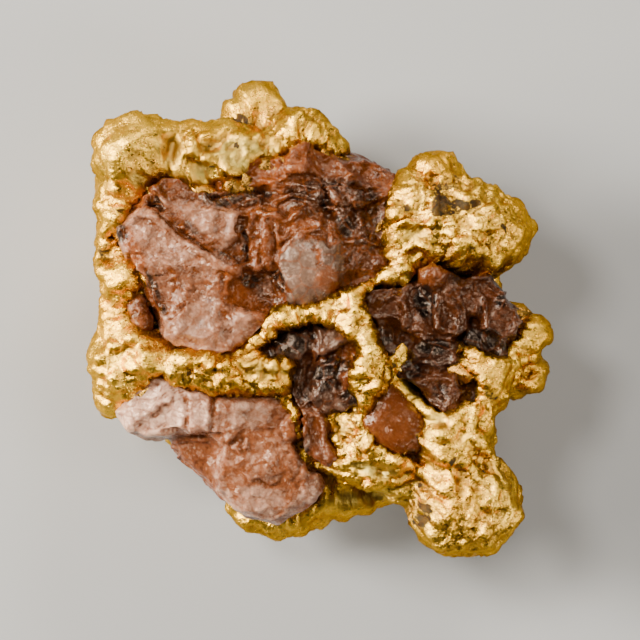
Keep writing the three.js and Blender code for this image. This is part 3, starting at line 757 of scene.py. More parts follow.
# The quartz masses: an outline seen from above, the top of the low bed that fills it, and the broken
# blocks that stand on the bed. Each block is the hull of its corners, with the height of its top, the
# slope of its top to the right and away, and how pale, rusty, dark and grey it is. "heart" and
# "spread" are the middle and half widths of the disc that the surface is measured from.
quartz = {
    "quartz_upper": {
        "heart": (-5.0, 5.6, 12.6),
        "spread": (6.5, 3.6),
        "across": 196,
        "floor": 8.8,
        "roundness": 0.5,
        "outline": [
            (-16.7, 6.7), (-15.3, 5.4), (-14.3, 3.6), (-13.4, 1.8), (-12.6, -0.4), (-11.6, -2.1),
            (-9.6, -2.2), (-7.4, -2.5), (-5.8, -2.0), (-4.7, -0.9), (-4.2, 0.3), (-2.9, 1.2), (-1.4, 1.2),
            (0.2, 1.5), (1.7, 2.2), (3.6, 3.1), (5.2, 3.9), (5.5, 4.7), (5.0, 6.0), (5.2, 8.2),
            (5.6, 10.1), (6.2, 12.0), (4.8, 13.0), (3.2, 13.2), (2.2, 12.8), (1.4, 13.0), (0.4, 13.5),
            (-1.2, 13.8), (-2.1, 13.2), (-3.2, 12.7), (-5.3, 12.5), (-5.9, 11.4), (-7.4, 11.0),
            (-9.0, 10.7), (-10.2, 10.6), (-11.6, 11.2), (-13.0, 10.9), (-13.6, 9.9), (-14.9, 9.2),
            (-15.2, 8.2),
        ],
        "bedTop": 17.6,
        "smooth": 0,
        "blocks": [
            # corners, top, slope, (pale, rust, dark, grey): pale is partly a painted highlight, grey partly
            # a painted sheen
            ([(-15.7, 7.2), (-15.5, 6.0), (-14.4, 4.0), (-9.0, 3.5), (-6.5, 3.6), (-6.4, 4.5),
              (-8.0, 5.3), (-12.6, 8.7), (-14.5, 8.3)], 19.45, (0.1, 0.02), (0.8, 0.1, 0, 0.1)),
            ([(-14.0, 3.8), (-13.2, 1.6), (-12.3, 0.7), (-9.0, 1.2), (-7.2, 2.0), (-6.8, 3.5),
              (-9.0, 3.9)], 19.15, (0.05, 0.16), (0.55, 0.35, 0, 0)),
            ([(-12.5, 0.3), (-11.2, 1.1), (-9.3, 2.0), (-7.6, 1.6), (-5.8, 0.9), (-5.0, 0.2),
              (-6.4, -2.2), (-7.6, -2.7), (-9.0, -2.6), (-11.4, -2.2), (-12.3, -1.4)], 19.3, (0.08, 0.0),
              (0.75, 0.15, 0, 0.3)),
            ([(-7.9, 1.4), (-7.6, -2.3), (-7.0, -2.7), (-5.0, -1.3), (-4.3, -0.2), (-4.4, 0.4),
              (-6.2, 1.1)], 19.3, (-0.12, 0.06), (0.5, 0.35, 0, 0.1)),
            ([(-8.4, 3.8), (-8.2, 1.6), (-6.0, 1.2), (-5.2, 1.6), (-6.2, 3.3), (-6.7, 3.8)], 18.3,
              (-0.25, 0.1), (0.1, 1.0, 0, 0)),
            ([(-12.6, 9.9), (-10.2, 9.3), (-8.4, 9.2), (-6.2, 8.4), (-6.3, 6.8), (-7.6, 5.6),
              (-9.7, 6.4), (-12.6, 9.0)], 19.1, (0.08, -0.06), (0.75, 0.2, 0, 0.3)),
            ([(-13.3, 10.3), (-12.5, 11.2), (-11.2, 11.3), (-9.2, 10.0), (-8.6, 9.2), (-12.4, 9.6)],
              18.5, (0.0, -0.3), (0.15, 0.25, 0, 0)),
            ([(-15.4, 8.2), (-14.8, 9.2), (-13.5, 10.0), (-12.9, 9.1), (-14.2, 8.2)], 17.7, (0.15, -0.1),
              (0.0, 0.5, 0.3, 0)),
            ([(-7.6, 5.5), (-6.6, 6.2), (-6.0, 5.6), (-6.0, 4.2), (-6.6, 4.5)], 18.1, (0, 0),
              (0.4, 0.5, 0, 0)),
            ([(-8.7, 9.9), (-8.7, 9.0), (-6.2, 8.5), (-4.6, 8.9), (-4.6, 9.7), (-7.2, 10.2)], 18.1,
              (0, -0.12), (0, 0.1, 0.65, 0)),
            ([(-8.2, 11.0), (-8.0, 10.4), (-4.8, 10.2), (-4.6, 10.8), (-6.4, 11.1)], 17.4, (0, -0.1),
              (0.25, 0.6, 0, 0)),
            ([(-7.4, 10.4), (-3.5, 10.3), (-3.5, 9.7), (-7.2, 9.9)], 17.0, (0, 0), (0, 0, 1.0, 0)),
            ([(-6.2, 11.8), (-5.6, 12.7), (-3.0, 12.8), (-2.5, 11.4), (-3.4, 10.6), (-5.4, 11.0)], 17.6,
              (0, -0.1), (0.1, 0.8, 0, 0)),
            ([(-2.9, 11.2), (-2.3, 12.7), (-2.1, 13.8), (-1.0, 13.9), (-0.8, 12.4), (-1.2, 11.5)], 18.1,
              (0, -0.15), (0.3, 0.6, 0, 0)),
            ([(-6.2, 8.1), (-5.4, 8.8), (-4.7, 8.8), (-4.7, 6.6), (-5.1, 4.2), (-6.1, 4.2)], 18.7,
              (0.1, 0.12), (0.2, 0.4, 0, 0.1)),
            ([(-4.8, 8.8), (-3.4, 8.8), (-2.6, 7.6), (-3.6, 5.6), (-3.8, 4.0), (-5.1, 4.0)], 19.0,
              (0, 0.16), (0.35, 0.5, 0, 0)),
            ([(-3.7, 7.0), (-2.3, 7.4), (-2.2, 6.4), (-3.4, 5.2)], 19.0, (0, 0.1), (0.4, 0.5, 0, 0)),
            ([(-4.9, 3.4), (-3.9, 3.6), (-3.8, 2.1), (-4.6, 1.9)], 17.8, (0.1, 0.2), (0.9, 0, 0, 0.9)),
            ([(-5.2, 2.0), (-3.0, 2.6), (-2.6, 1.6), (-4.0, 0.5)], 17.3, (-0.1, 0.2), (0, 0.4, 0.35, 0)),

            ([(-3.6, 4.9), (-3.3, 5.5), (-2.2, 6.6), (0.6, 6.5), (1.5, 6.2), (1.8, 4.5), (1.6, 3.0),
              (0.6, 1.6), (-1.0, 1.1), (-2.3, 1.4), (-3.2, 2.9)], 19.4, (0.02, 0.03),
              (0.25, 0.1, 0, 0.8)),
            ([(-2.6, 7.6), (-2.2, 8.5), (-0.9, 8.9), (0.1, 8.2), (0.2, 7.0), (-0.6, 6.5), (-2.1, 6.6)],
              19.2, (0, -0.1), (0.1, 0.45, 0, 0)),
            ([(0.2, 7.9), (1.0, 7.6), (1.5, 6.5), (0.3, 6.5)], 18.9, (-0.1, 0), (0.1, 0.4, 0, 0)),
            ([(-4.2, 9.3), (-2.5, 8.6), (-1.2, 8.9), (-0.9, 9.4), (-3.0, 9.7)], 18.0, (0, 0),
              (0, 0.1, 0.6, 0.2)),
            ([(-3.7, 10.3), (-1.2, 10.5), (0.1, 10.0), (0.3, 8.7), (-1.1, 8.9), (-3.6, 9.6)], 18.2,
              (0, -0.1), (0.2, 0.25, 0, 0.1)),
            ([(-1.7, 10.7), (0.2, 10.7), (0.4, 9.8), (-1.0, 10.3)], 18.3, (0, 0), (0.3, 0.1, 0, 0.3)),
            ([(0.6, 10.3), (2.0, 10.2), (3.3, 9.9), (3.4, 9.0), (2.0, 8.5), (0.8, 8.8)], 18.4,
              (-0.05, -0.1), (0.3, 0.35, 0, 0)),
            ([(1.4, 8.6), (2.3, 8.3), (3.0, 6.9), (2.5, 6.2), (1.5, 6.3), (1.2, 7.4)], 18.0, (0, 0),
              (0, 0, 1.0, 0)),
            ([(2.9, 8.6), (4.2, 7.0), (3.8, 6.0), (2.8, 6.5)], 17.9, (-0.1, 0), (0.1, 0.5, 0, 0)),
            ([(1.7, 6.4), (3.6, 6.6), (5.2, 5.6), (5.4, 4.4), (4.4, 3.7), (2.6, 3.6), (1.8, 4.2)], 18.2,
              (-0.08, 0.1), (0, 0.15, 0.4, 0)),
            ([(-1.6, 11.2), (-0.9, 13.8), (1.6, 13.0), (2.8, 11.4), (0.6, 10.8)], 17.2, (0, -0.3),
              (0, 0.5, 0, 0)),
            ([(1.4, 13.0), (4.6, 12.4), (5.8, 11.0), (5.2, 9.8), (3.2, 10.0), (0.8, 10.9)], 16.8,
              (-0.1, -0.3), (0, 0.35, 0.2, 0)),
            ([(0.2, 11.1), (2.6, 10.8), (2.4, 10.3), (0.3, 10.6)], 17.8, (0, 0), (0, 0, 0.8, 0.1)),
            ([(3.5, 9.8), (5.4, 10.0), (5.4, 7.6), (4.8, 6.2), (3.9, 6.4), (3.2, 8.4)], 17.4, (-0.2, 0),
              (0, 0.3, 0.35, 0)),
            ([(-15.8, 7.0), (-16.6, 6.8), (-15.6, 5.2), (-14.6, 5.0)], 16.9, (0, 0), (0, 0, 1.0, 0.2)),
            ([(-14.2, 3.6), (-13.4, 1.8), (-12.6, 0.2), (-12.0, 0.4), (-12.6, 1.8), (-13.4, 3.6)], 17.7,
              (0.1, 0), (0, 0.4, 0.5, 0)),
        ],
    },
    "quartz_left_chip": {
        "heart": (-14.2, 0.4, 14.4),
        "spread": (0.2, 0.5),
        "across": 34,
        "floor": 12.3,
        "roundness": 0.9,
        "outline": [
            (-15.2, 1.2), (-15.0, -0.2), (-14.2, -1.0), (-13.4, -0.7), (-13.2, 0.2), (-13.9, 1.7),
            (-14.6, 2.1),
        ],
        "bedTop": 16.2,
        "smooth": 0.6,
        "blocks": [
            ([(-15.2, 1.2), (-15.0, -0.2), (-14.2, -1.0), (-13.4, -0.6), (-13.3, 0.2), (-13.8, 1.6),
              (-14.5, 2.1)], 17.4, (0.1, 0), (0.35, 0.35, 0, 0)),
        ],
    },
    "quartz_lower": {
        "heart": (-7.2, -9.4, 11.0),
        "spread": (3.8, 2.2),
        "across": 160,
        "floor": 4.9,
        "roundness": 0.7,
        "outline": [
            (-16.6, -7.6), (-15.6, -9.2), (-13.8, -10.2), (-12.6, -10.4), (-11.4, -12.0), (-9.4, -13.0),
            (-8.0, -14.6), (-6.8, -15.2), (-5.6, -15.7), (-3.6, -15.8), (-2.2, -15.1), (-0.7, -14.6),
            (0.1, -13.6), (0.1, -12.6), (-0.7, -11.9), (-1.9, -11.3), (-2.0, -9.8), (-2.3, -8.2),
            (-2.5, -7.0), (-3.3, -5.9), (-5.8, -6.0), (-7.5, -5.8), (-8.8, -6.1), (-10.2, -5.4),
            (-11.4, -5.0), (-12.6, -4.4), (-13.7, -4.9), (-14.4, -5.8), (-15.4, -6.6),
        ],
        "bedTop": 16.0,
        "smooth": 0.3,
        "blocks": [
            ([(-15.9, -7.3), (-15.2, -8.6), (-13.7, -9.35), (-12.3, -8.9), (-10.6, -8.9), (-10.4, -5.6),
              (-12.8, -4.4), (-13.8, -4.8), (-15.2, -6.4)], 17.0, (0.1, 0.08), (0.9, 0.1, 0, 0)),
            ([(-10.4, -5.9), (-10.3, -8.8), (-8.9, -8.9), (-8.5, -8.2), (-8.6, -6.3), (-9.4, -5.6)],
              17.5, (0.04, 0), (0.6, 0.25, 0, 0)),
            ([(-8.7, -6.3), (-8.8, -9.1), (-7.4, -10.0), (-6.2, -9.2), (-3.8, -8.8), (-2.5, -6.8),
              (-3.3, -5.9), (-7.6, -5.7)], 17.4, (0, 0.05), (0.35, 0.05, 0, 0.35)),
            ([(-2.9, -6.4), (-3.7, -8.6), (-2.4, -9.6), (-1.4, -9.0), (-1.1, -7.8), (-1.7, -6.8)], 16.9,
              (-0.1, 0.05), (0.2, 0.6, 0, 0)),
            ([(-7.0, -10.2), (-6.4, -12.2), (-5.4, -13.0), (-4.2, -12.4), (-2.4, -10.6), (-2.6, -9.3),
              (-4.0, -8.6), (-5.8, -9.2)], 16.9, (0.04, 0.1), (0.35, 0.4, 0, 0)),
            ([(-4.9, -12.6), (-3.7, -13.5), (-2.7, -13.1), (-1.8, -11.6), (-2.3, -10.4), (-3.6, -11.2)],
              16.4, (-0.06, 0.12), (0.45, 0.35, 0, 0)),
            ([(-7.6, -9.6), (-8.0, -12.6), (-6.6, -14.4), (-4.4, -15.2), (-1.8, -14.4), (-0.6, -12.9),
              (-1.8, -10.4), (-3.4, -9.2)], 16.3, (0.02, 0.3), (0.35, 0.45, 0, 0)),
            ([(-8.0, -10.8), (-8.2, -13.4), (-6.9, -14.9), (-5.2, -15.8), (-3.4, -15.9), (-1.4, -14.9),
              (0.1, -13.6), (-0.2, -12.2), (-1.8, -11.7), (-6.0, -10.4)], 15.8, (0.05, 0.24),
              (0.6, 0.2, 0, 0)),
            ([(-2.0, -12.0), (-3.0, -14.6), (-1.2, -14.8), (0.1, -13.6), (0.1, -12.3), (-1.0, -11.8)],
              15.7, (-0.1, 0.12), (0.3, 0.4, 0, 0)),
            ([(-12.0, -8.7), (-11.2, -10.8), (-9.4, -12.2), (-7.6, -14.2), (-6.8, -13.0), (-7.4, -10.0),
              (-8.8, -9.0)], 14.9, (0.2, 0.25), (0, 0.4, 0.35, 0)),
        ],
    },
    "quartz_centre": {
        "heart": (-0.2, -4.4, 13.6),
        "spread": (0.9, 2.6),
        "across": 116,
        "floor": 11.3,
        "roundness": 0.4,
        "outline": [
            (-5.4, -2.1), (-4.0, -2.9), (-2.2, -3.2), (-1.9, -4.2), (-2.3, -5.4), (-2.3, -6.4),
            (-1.5, -7.4), (-1.3, -9.2), (-0.9, -10.3), (-0.3, -11.0), (0.7, -11.4), (1.3, -10.6),
            (0.7, -9.3), (0.3, -8.2), (0.6, -7.1), (1.8, -7.0), (3.1, -6.8), (3.3, -5.8), (2.3, -5.4),
            (2.3, -4.4), (2.6, -3.6), (2.9, -2.7), (2.7, -1.8), (2.0, -1.0), (0.8, -0.5), (-1.0, -0.4),
            (-2.6, -0.7), (-4.0, -1.3),
        ],
        "bedTop": 17.2,
        "smooth": 0,
        "blocks": [
            ([(-3.7, -1.7), (-3.2, -2.8), (-1.6, -3.2), (-0.8, -2.2), (-0.9, -0.7), (-2.4, -0.7)], 18.5,
              (0.06, 0), (0.1, 0.1, 0.5, 0.45)),
            ([(-0.5, -0.5), (-0.6, -3.2), (0.2, -3.1), (2.2, -2.3), (2.8, -1.7), (1.2, -0.4)], 18.9,
              (0.1, -0.1), (0.1, 0.3, 0.2, 0.5)),
            ([(0.1, -3.3), (1.0, -3.8), (2.6, -3.8), (3.0, -3.0), (2.8, -2.1), (2.0, -2.4)], 18.4,
              (0, 0.05), (0.1, 0.9, 0, 0)),
            ([(0.1, -3.5), (-0.4, -4.6), (0.8, -5.2), (2.1, -4.9), (2.3, -3.3), (1.4, -3.0)], 18.8,
              (0, 0), (0, 0, 1.0, 0.1)),
            ([(1.5, -4.5), (2.1, -5.5), (2.7, -4.1), (2.2, -3.9)], 19.1, (0, 0), (0.2, 1.0, 0, 0)),
            ([(-0.6, -4.8), (-0.8, -6.4), (0.6, -7.1), (2.0, -7.2), (3.4, -6.6), (3.3, -5.6),
              (2.2, -5.2)], 18.6, (0, 0.05), (0.1, 0.2, 0.3, 0.4)),
            ([(-2.0, -3.3), (-2.4, -5.8), (-1.6, -7.2), (-0.6, -6.8), (-0.4, -3.2)], 17.8, (-0.05, 0),
              (0, 0.45, 0.45, 0)),
            ([(-1.3, -7.2), (-1.3, -9.2), (0.4, -9.4), (0.4, -8.0), (-0.3, -7.1)], 17.9, (0, 0),
              (0.1, 0.7, 0.1, 0)),
            ([(-1.3, -9.1), (-1.2, -10.2), (-0.3, -10.2), (-0.1, -9.2)], 18.1, (0.1, 0),
              (0.5, 0.1, 0, 0.8)),
            ([(-0.7, -9.8), (-0.5, -10.9), (0.6, -11.5), (1.4, -11.1), (1.2, -10.2), (0.3, -9.6)], 17.9,
              (0, 0.06), (0.3, 0.8, 0, 0)),
        ],
    },
    "quartz_right": {
        "heart": (9.8, -0.8, 13.2),
        "spread": (3.8, 2.0),
        "across": 156,
        "floor": 9.8,
        "roundness": 0.45,
        "outline": [
            (3.6, 2.2), (3.5, 1.0), (3.9, 0.0), (4.3, -0.9), (4.8, -2.3), (5.4, -2.9), (6.1, -2.6),
            (6.6, -2.0), (7.6, -1.5), (7.5, -2.0), (6.7, -3.2), (6.2, -4.3), (7.2, -4.7), (7.9, -5.6),
            (8.5, -6.7), (9.6, -7.2), (10.5, -7.1), (11.1, -6.6), (12.3, -6.3), (12.4, -5.0),
            (12.0, -4.1), (11.2, -3.8), (10.7, -3.0), (10.8, -2.1), (11.2, -1.7), (12.1, -2.2),
            (13.0, -2.5), (13.9, -3.0), (14.6, -2.8), (14.9, -2.1), (15.6, -1.4), (15.8, -0.4),
            (16.4, 0.5), (16.0, 1.8), (14.8, 3.2), (13.6, 3.4), (12.4, 3.5), (11.3, 3.3), (10.5, 3.7),
            (9.8, 4.2), (8.6, 4.4), (7.9, 4.1), (7.4, 3.2), (6.4, 2.8), (4.6, 2.7),
        ],
        "bedTop": 17.2,
        "smooth": 0,
        "blocks": [
            ([(3.6, 1.9), (3.7, 0.4), (4.6, -0.2), (5.8, 0.2), (5.9, 1.8), (5.6, 2.6), (4.5, 2.5)], 18.8,
              (0.1, 0), (0.1, 0.3, 0.1, 0)),
            ([(5.6, 1.9), (5.7, 0.4), (6.6, -0.8), (8.4, -1.7), (8.9, -1.2), (7.6, 0.6), (6.6, 1.9)],
              19.0, (0.05, -0.05), (0.3, 0.35, 0, 0)),
            ([(4.1, -0.3), (4.8, -2.3), (5.5, -3.0), (6.5, -2.6), (7.1, -1.6), (6.4, -0.2), (5.4, 0.1)],
              18.2, (0, 0.05), (0, 0.15, 0.35, 0)),
            ([(5.9, 2.6), (6.2, 1.8), (7.4, 1.4), (7.6, 2.8)], 18.4, (0, 0), (0, 0.1, 0.4, 0.1)),
            ([(7.4, 2.8), (7.3, 1.2), (8.6, -0.9), (9.1, -0.6), (9.2, 2.2), (8.8, 2.9)], 17.9, (0, 0),
              (0, 0, 0.95, 0)),
            ([(8.0, 3.9), (8.1, 3.0), (8.9, 2.5), (9.6, 2.9), (9.9, 3.7), (8.9, 4.3)], 19.8, (0, 0.05),
              (0.1, 1.0, 0, 0)),
            ([(9.8, 4.0), (9.2, 2.3), (10.6, 2.2), (11.3, 3.2)], 18.6, (0, -0.1), (0, 0.1, 0.5, 0)),
            ([(9.1, 2.2), (9.1, -0.6), (10.4, -1.3), (11.5, -0.6), (11.4, 2.9), (10.2, 2.6)], 19.0,
              (-0.04, 0), (0.05, 0.35, 0.1, 0)),
            ([(11.2, 3.3), (11.3, 0.6), (12.4, 0.3), (13.9, 1.0), (14.5, 2.2), (13.4, 3.5)], 18.5,
              (-0.06, -0.06), (0.05, 0.35, 0.1, 0)),
            ([(12.6, 0.3), (12.8, -0.8), (14.3, -1.6), (15.4, -1.2), (15.9, -0.2), (15.5, 0.8),
              (14.6, 1.6), (13.6, 1.1)], 18.5, (-0.1, 0.03), (0.3, 0.25, 0, 0.15)),
            ([(11.3, -0.6), (11.4, -1.8), (13.2, -2.5), (14.3, -3.1), (14.8, -2.8), (14.4, -1.4),
              (12.8, -0.8)], 17.9, (0, 0.1), (0, 0, 1.0, 0.1)),
            ([(7.2, -2.4), (7.4, -3.2), (9.4, -3.9), (10.9, -3.3), (10.7, -1.8), (9.2, -1.3),
              (7.9, -1.6)], 18.7, (0, -0.05), (0.05, 0.1, 0.5, 0.3)),
            ([(6.2, -3.5), (6.1, -4.4), (7.6, -4.9), (8.6, -4.2), (7.4, -3.2)], 18.1, (0, 0),
              (0, 0.1, 0.8, 0)),
            ([(7.5, -4.8), (8.5, -6.6), (9.7, -7.4), (10.9, -6.9), (11.4, -5.6), (10.6, -4.3),
              (8.8, -4.1)], 18.9, (0.05, -0.04), (0.1, 0.3, 0.15, 0.2)),
            ([(11.0, -4.0), (11.2, -6.9), (12.4, -6.4), (12.4, -4.8), (11.7, -4.0)], 17.9, (-0.1, 0),
              (0, 0.15, 0.5, 0)),
        ],
    },
    "quartz_pebble": {
        "heart": (5.8, -8.2, 14.8),
        "spread": (0.9, 0.9),
        "across": 80,
        "floor": 12.8,
        "roundness": 1.6,
        "outline": [
            (3.4, -7.8), (3.5, -8.6), (4.3, -9.7), (5.4, -10.3), (6.6, -10.8), (7.7, -11.4), (7.6, -10.4),
            (7.9, -9.5), (8.2, -9.0), (7.9, -7.6), (7.2, -6.4), (6.3, -5.7), (5.5, -5.2), (5.0, -5.7),
            (4.1, -6.0), (3.9, -6.9),
        ],
        "bedTop": 17.2,
        "smooth": 0.9,
        "blocks": [
            ([(3.4, -8.4), (3.6, -7.0), (4.2, -5.9), (5.5, -5.3), (6.8, -6.3), (8.0, -7.5), (8.3, -9.0),
              (7.7, -10.2), (6.3, -10.5), (4.7, -9.8)], 19.2, (0.0, 0.04), (0.35, 0.2, 0, 0)),
            ([(6.4, -10.0), (7.2, -11.2), (7.8, -11.5), (7.8, -9.8)], 17.6, (0, 0.1), (0, 0.2, 0.8, 0)),
        ],
    },
}


# How far the gold sinks: full inside each quartz outline, nothing a little way outside it
def socketDepthMap(x, y):
    p = np.stack([x, y, np.zeros_like(x)], 1)
    wobble = 0.16 * layered(p, 1.6, 3, 71)
    depth = np.zeros_like(x)
    for mass in quartz.values():
        away = distanceToOutline(x, y, mass["outline"]) + 0.12 + wobble
        depth = np.maximum(depth, 1 - smoothStep(away, -0.3, 0.3))
    return depth * gold["socketDepth"]


# About how far points are outside the gold as it was before the quartz took its place: all lumps
# melted together, less the round moulds, swollen by the crumple
def lumpsOutside(p):
    distance = np.full(len(p), 99.0)
    for kind, broad in (("innerLumps", False), ("lumps", True)):
        for _, middle, size, turn in gold[kind]:
            distance = meltTogether(distance, outsideLump(p, middle, size, turn, broad), gold["melt"])
    for middle, radius in gold["moulds"]:
        clear = np.linalg.norm(p - np.array(middle), axis=1) - radius
        distance = -meltTogether(-distance, clear, gold["pitMelt"])
    return distance + crumple(p)


# How far points are outside the gold: the sockets add their depth, fading in from 9.5 to 12.5 mm up
def goldOutside(p, socketDepth):
    return lumpsOutside(p) + socketDepth(p[:, 0], p[:, 1]) * smoothStep(p[:, 2], 9.5, 12.5)


# Where the surface is met from above at x, y: the highest point close by and the normal there
def metFromAbove(points, normals, x, y):
    away = np.hypot(points[:, 0] - x, points[:, 1] - y) + 9.0 * (normals[:, 2] < 0)
    near = np.flatnonzero(away < max(0.3, away.min() + 0.05))
    top = near[np.argmax(points[near, 2])]
    around = near[points[near, 2] > points[top, 2] - 0.4]
    normal = normals[around].sum(0)
    return points[top], normal / np.linalg.norm(normal)


# Points seen square on to the surface at x, y: which ones are close, their offsets from a turned
# ellipse's middle as a share of its radius, and the normal there
def faceOn(points, normals, warp, x, y, size, turn):
    middle, normal = metFromAbove(points, normals, x, y)
    near = np.flatnonzero(np.abs(points - middle).max(1) < 1.8 * max(size) + 0.4)
    near = near[normals[near] @ normal > 0.1]
    across = np.array([math.cos(math.radians(turn)), math.sin(math.radians(turn)), 0])
    across = across - normal * (across @ normal)
    across /= np.linalg.norm(across)
    offset = points[near] + warp[near] - middle
    around = np.hypot(offset @ across / size[0], offset @ np.cross(normal, across) / size[1])
    return near, around, normal


# The placed relief of the gold's upper side, as a move in mm for each point. A hollow is a bowl
# with a raised rim, a knob a dome and a ridge a crest along a line laid on the surface.
def goldRelief(points, normals):
    warp = 0.1 * np.stack([layered(points, 0.9, 2, seed) for seed in (31, 37, 39)], 1)
    move = np.zeros_like(points)
    for x, y, a, b, turn, depth in gold["hollows"]:
        near, around, normal = faceOn(points, normals, warp, x, y, (a, b), turn)
        depth = min(depth, 0.55 * min(a, b))
        height = 0.4 * depth * np.exp(-((around - 1.08) / 0.18) ** 2)
        height -= depth * np.clip(1 - around ** 2, 0, 1) ** 0.75
        move[near] += height[:, None] * normal
    for x, y, a, b, turn, rise in gold["knobs"]:
        near, around, normal = faceOn(points, normals, warp, x, y, (a * 1.1, b * 1.1), turn)
        move[near] += (rise * np.sqrt(1 - smoothStep(around, 0, 1)))[:, None] * normal
    for x, y, radius in gold["holes"]:
        near, around, normal = faceOn(points, normals, warp, x, y, (radius, radius), 0)
        move[near] -= (1.2 * radius * (1 - smoothStep(around, 0.4, 1.15)))[:, None] * normal
    for rise, width, line in gold["ridges"]:
        height = np.zeros(len(points))
        for (ax, ay), (bx, by) in zip(line[:-1], line[1:]):
            steps = max(int(math.hypot(bx - ax, by - ay) / 0.25), 1)
            for s in range(steps + 1):
                share = s / steps
                crest, _ = metFromAbove(points, normals, ax + (bx - ax) * share, ay + (by - ay) * share)
                near = np.flatnonzero(np.abs(points - crest).max(1) < width * 1.5)
                away = np.linalg.norm(points[near] + warp[near] - crest, axis=1)
                height[near] = np.maximum(height[near], np.clip(1.1 - away / (width * 1.3), 0, 1) ** 1.3)
        move += rise * height[:, None] * normals
    return move


# 1 inside any of the oval places, fading to 0 at their edges
def weights(x, y, places):
    total = np.zeros_like(x)
    for cx, cy, a, b in places:
        total = np.maximum(total, spot(x, y, (cx, cy), (a * 1.15, b * 1.15), 0, 0.4))
    return total


# Fine relief all over the gold. Scoops and pits rise with the square of the distance from a cell's
# middle, so their borders are sharp, beads are half balls, and creases are noise folded at 0.
def goldTexture(p):
    x, y = p[:, 0], p[:, 1]
    beaded = weights(x, y, gold["beaded"])
    foil = weights(x, y, gold["foil"])
    side = 1 - smoothStep(p[:, 2], 9, 13)
    warped = p + 0.25 * np.stack([layered(p, 1.7, 2, s) for s in (3, 5, 7)], 1)
    near, _, chances = cellNoise(warped, 1.9, 41)
    scoops = 0.17 * (near / 1.2) ** 2 * (0.3 + chances[:, 0])
    smallNear, _, smallChances = cellNoise(warped, 0.85, 43)
    pits = 0.13 * np.clip(smallNear / 0.55, 0, 1.3) ** 2 * (0.3 + smallChances[:, 1])
    beads = 0.28 * np.sqrt(np.clip(1 - (smallNear / 0.52) ** 2, 0, 1))
    creases = 1 - np.abs(layered(warped, 1.1, 3, 53, 0.65)) * 2.4
    creases = 0.24 * np.clip(creases, -1, 1)
    grain = 0.05 * layered(p, 0.42, 2, 61)
    plain = scoops * (1 + 0.5 * side) + pits + grain
    plain = plain + 0.07 * layered(p, 1.3, 2, 67) + 0.12 * creases
    plain = plain * (1 - 0.35 * weights(x, y, gold["calm"]))
    height = plain * (1 - np.maximum(beaded, foil * 0.5)) + beads * np.maximum(beaded, 0.3 * side)
    return height + creases * foil * (1 - beaded)


# The gold's masks: stain, green tarnish, a crevice mask by hollowness that stands for iron dirt and painted
# shade, and a flank mask by how level the surface is, a painted dark reflection that is weaker at the left
# where the lamps reach it
def goldMasks(p, hollow, up):
    x, y = p[:, 0], p[:, 1]
    ragged = layered(p, 0.7, 3, 83)
    ups = smoothStep(p[:, 2], 8, 10)
    stain = np.zeros_like(x)
    for cx, cy, a, b, turn, strength in gold["stains"]:
        mask = spot(x + 0.14 * ragged, y - 0.14 * ragged, (cx, cy), (a * 1.5, b * 1.5), turn, 0.35)
        stain = np.maximum(stain, strength * mask)
    for cx, cy, radius in gold["holes"]:
        stain = np.maximum(stain, spot(x, y, (cx, cy), (radius * 1.1, radius * 1.1), 0, 0.5))
    green = np.zeros_like(x)
    for cx, cy, a, b, turn, strength in gold["greens"]:
        green = np.maximum(green, strength * spot(x, y, (cx, cy), (a, b), turn, 0.7))
    # crevice mask by hollowness: iron dirt and painted shade
    crevice = smoothStep(hollow + 0.004 * ragged, 0.006, 0.03)
    # flank: painted dark reflection on the steep sides, weaker at the left where the lamps reach
    flank = (1 - smoothStep(up + 0.1 * ragged, 0.25, 0.85)) * (0.4 + 0.6 * smoothStep(x, -12, -4))
    return np.stack([stain * ups, green * ups, crevice, flank], 1)


# Metal in three golds, the lightest in fine flecks as a painted highlight; darker and browner on the steep
# sides, a painted dark reflection; browner in the hollows, iron dirt and painted shade; greenish or stained
# where masked
def goldMaterial():
    shop = Shop("native gold")
    stain, green, crevice, flank = shop.masks()
    broad = shop.noise(5.0, 3)
    fine = shop.noise(0.35, 4, 0.6)
    dots = shop.cells(0.9)
    colour = shop.mix(broad.ramp(0.35, 0.7), gold["base"], gold["deep"])
    # fine flecks of lighter gold: painted highlight
    colour = shop.mix(fine.ramp(0.55, 0.75) * 0.35, colour, gold["paintedGlint"])
    mottled = (shop.noise(0.7, 4, 0.65, 0.8) + shop.noise(2.6, 2) * 0.5).ramp(0.6, 0.9)
    # the steep sides darkened: painted dark reflection
    colour = shop.mix(flank * 0.85, colour, shop.mix(mottled, *gold["flankShade"]))
    colour = shop.mix(green * 0.8, colour, gold["tarnish"])
    # hollows browner: iron dirt and painted shade
    colour = shop.mix(crevice * 0.7, colour, gold["creviceDirtAndShade"])
    freckles = (1 - dots.ramp(0.08, 0.2)) * shop.noise(2.2, 2).ramp(0.5, 0.62)
    colour = shop.mix(freckles * 0.7, colour, gold["freckles"])
    dark = shop.mix(shop.noise(0.5, 3).ramp(0.4, 0.6), *gold["stain"])
    blotch = shop.noise(0.6, 4, 0.7)
    stainEdge = (stain + (blotch - 0.5) * 2.4).ramp(0.5, 0.75)
    colour = shop.mix(stainEdge * 0.96, colour, dark)
    metal = 1 - stainEdge * 0.95 - freckles * 0.4
    rough = 0.21 + fine * 0.14 + green * 0.16 + stainEdge * 0.2
    height = shop.noise(0.24, 4, 0.65, 0.5) + 0.5 * shop.flakes(0.42) + 0.3 * shop.cells(0.3)
    return shop.finish({
        "Base Color": colour, "Metallic": metal.clamp(), "Roughness": rough.clamp(),
        "Normal": shop.bump(height, 0.08),
        "Specular Tint": (1.0, 0.78, 0.34, 1), "Specular IOR Level": 0.15,
    })


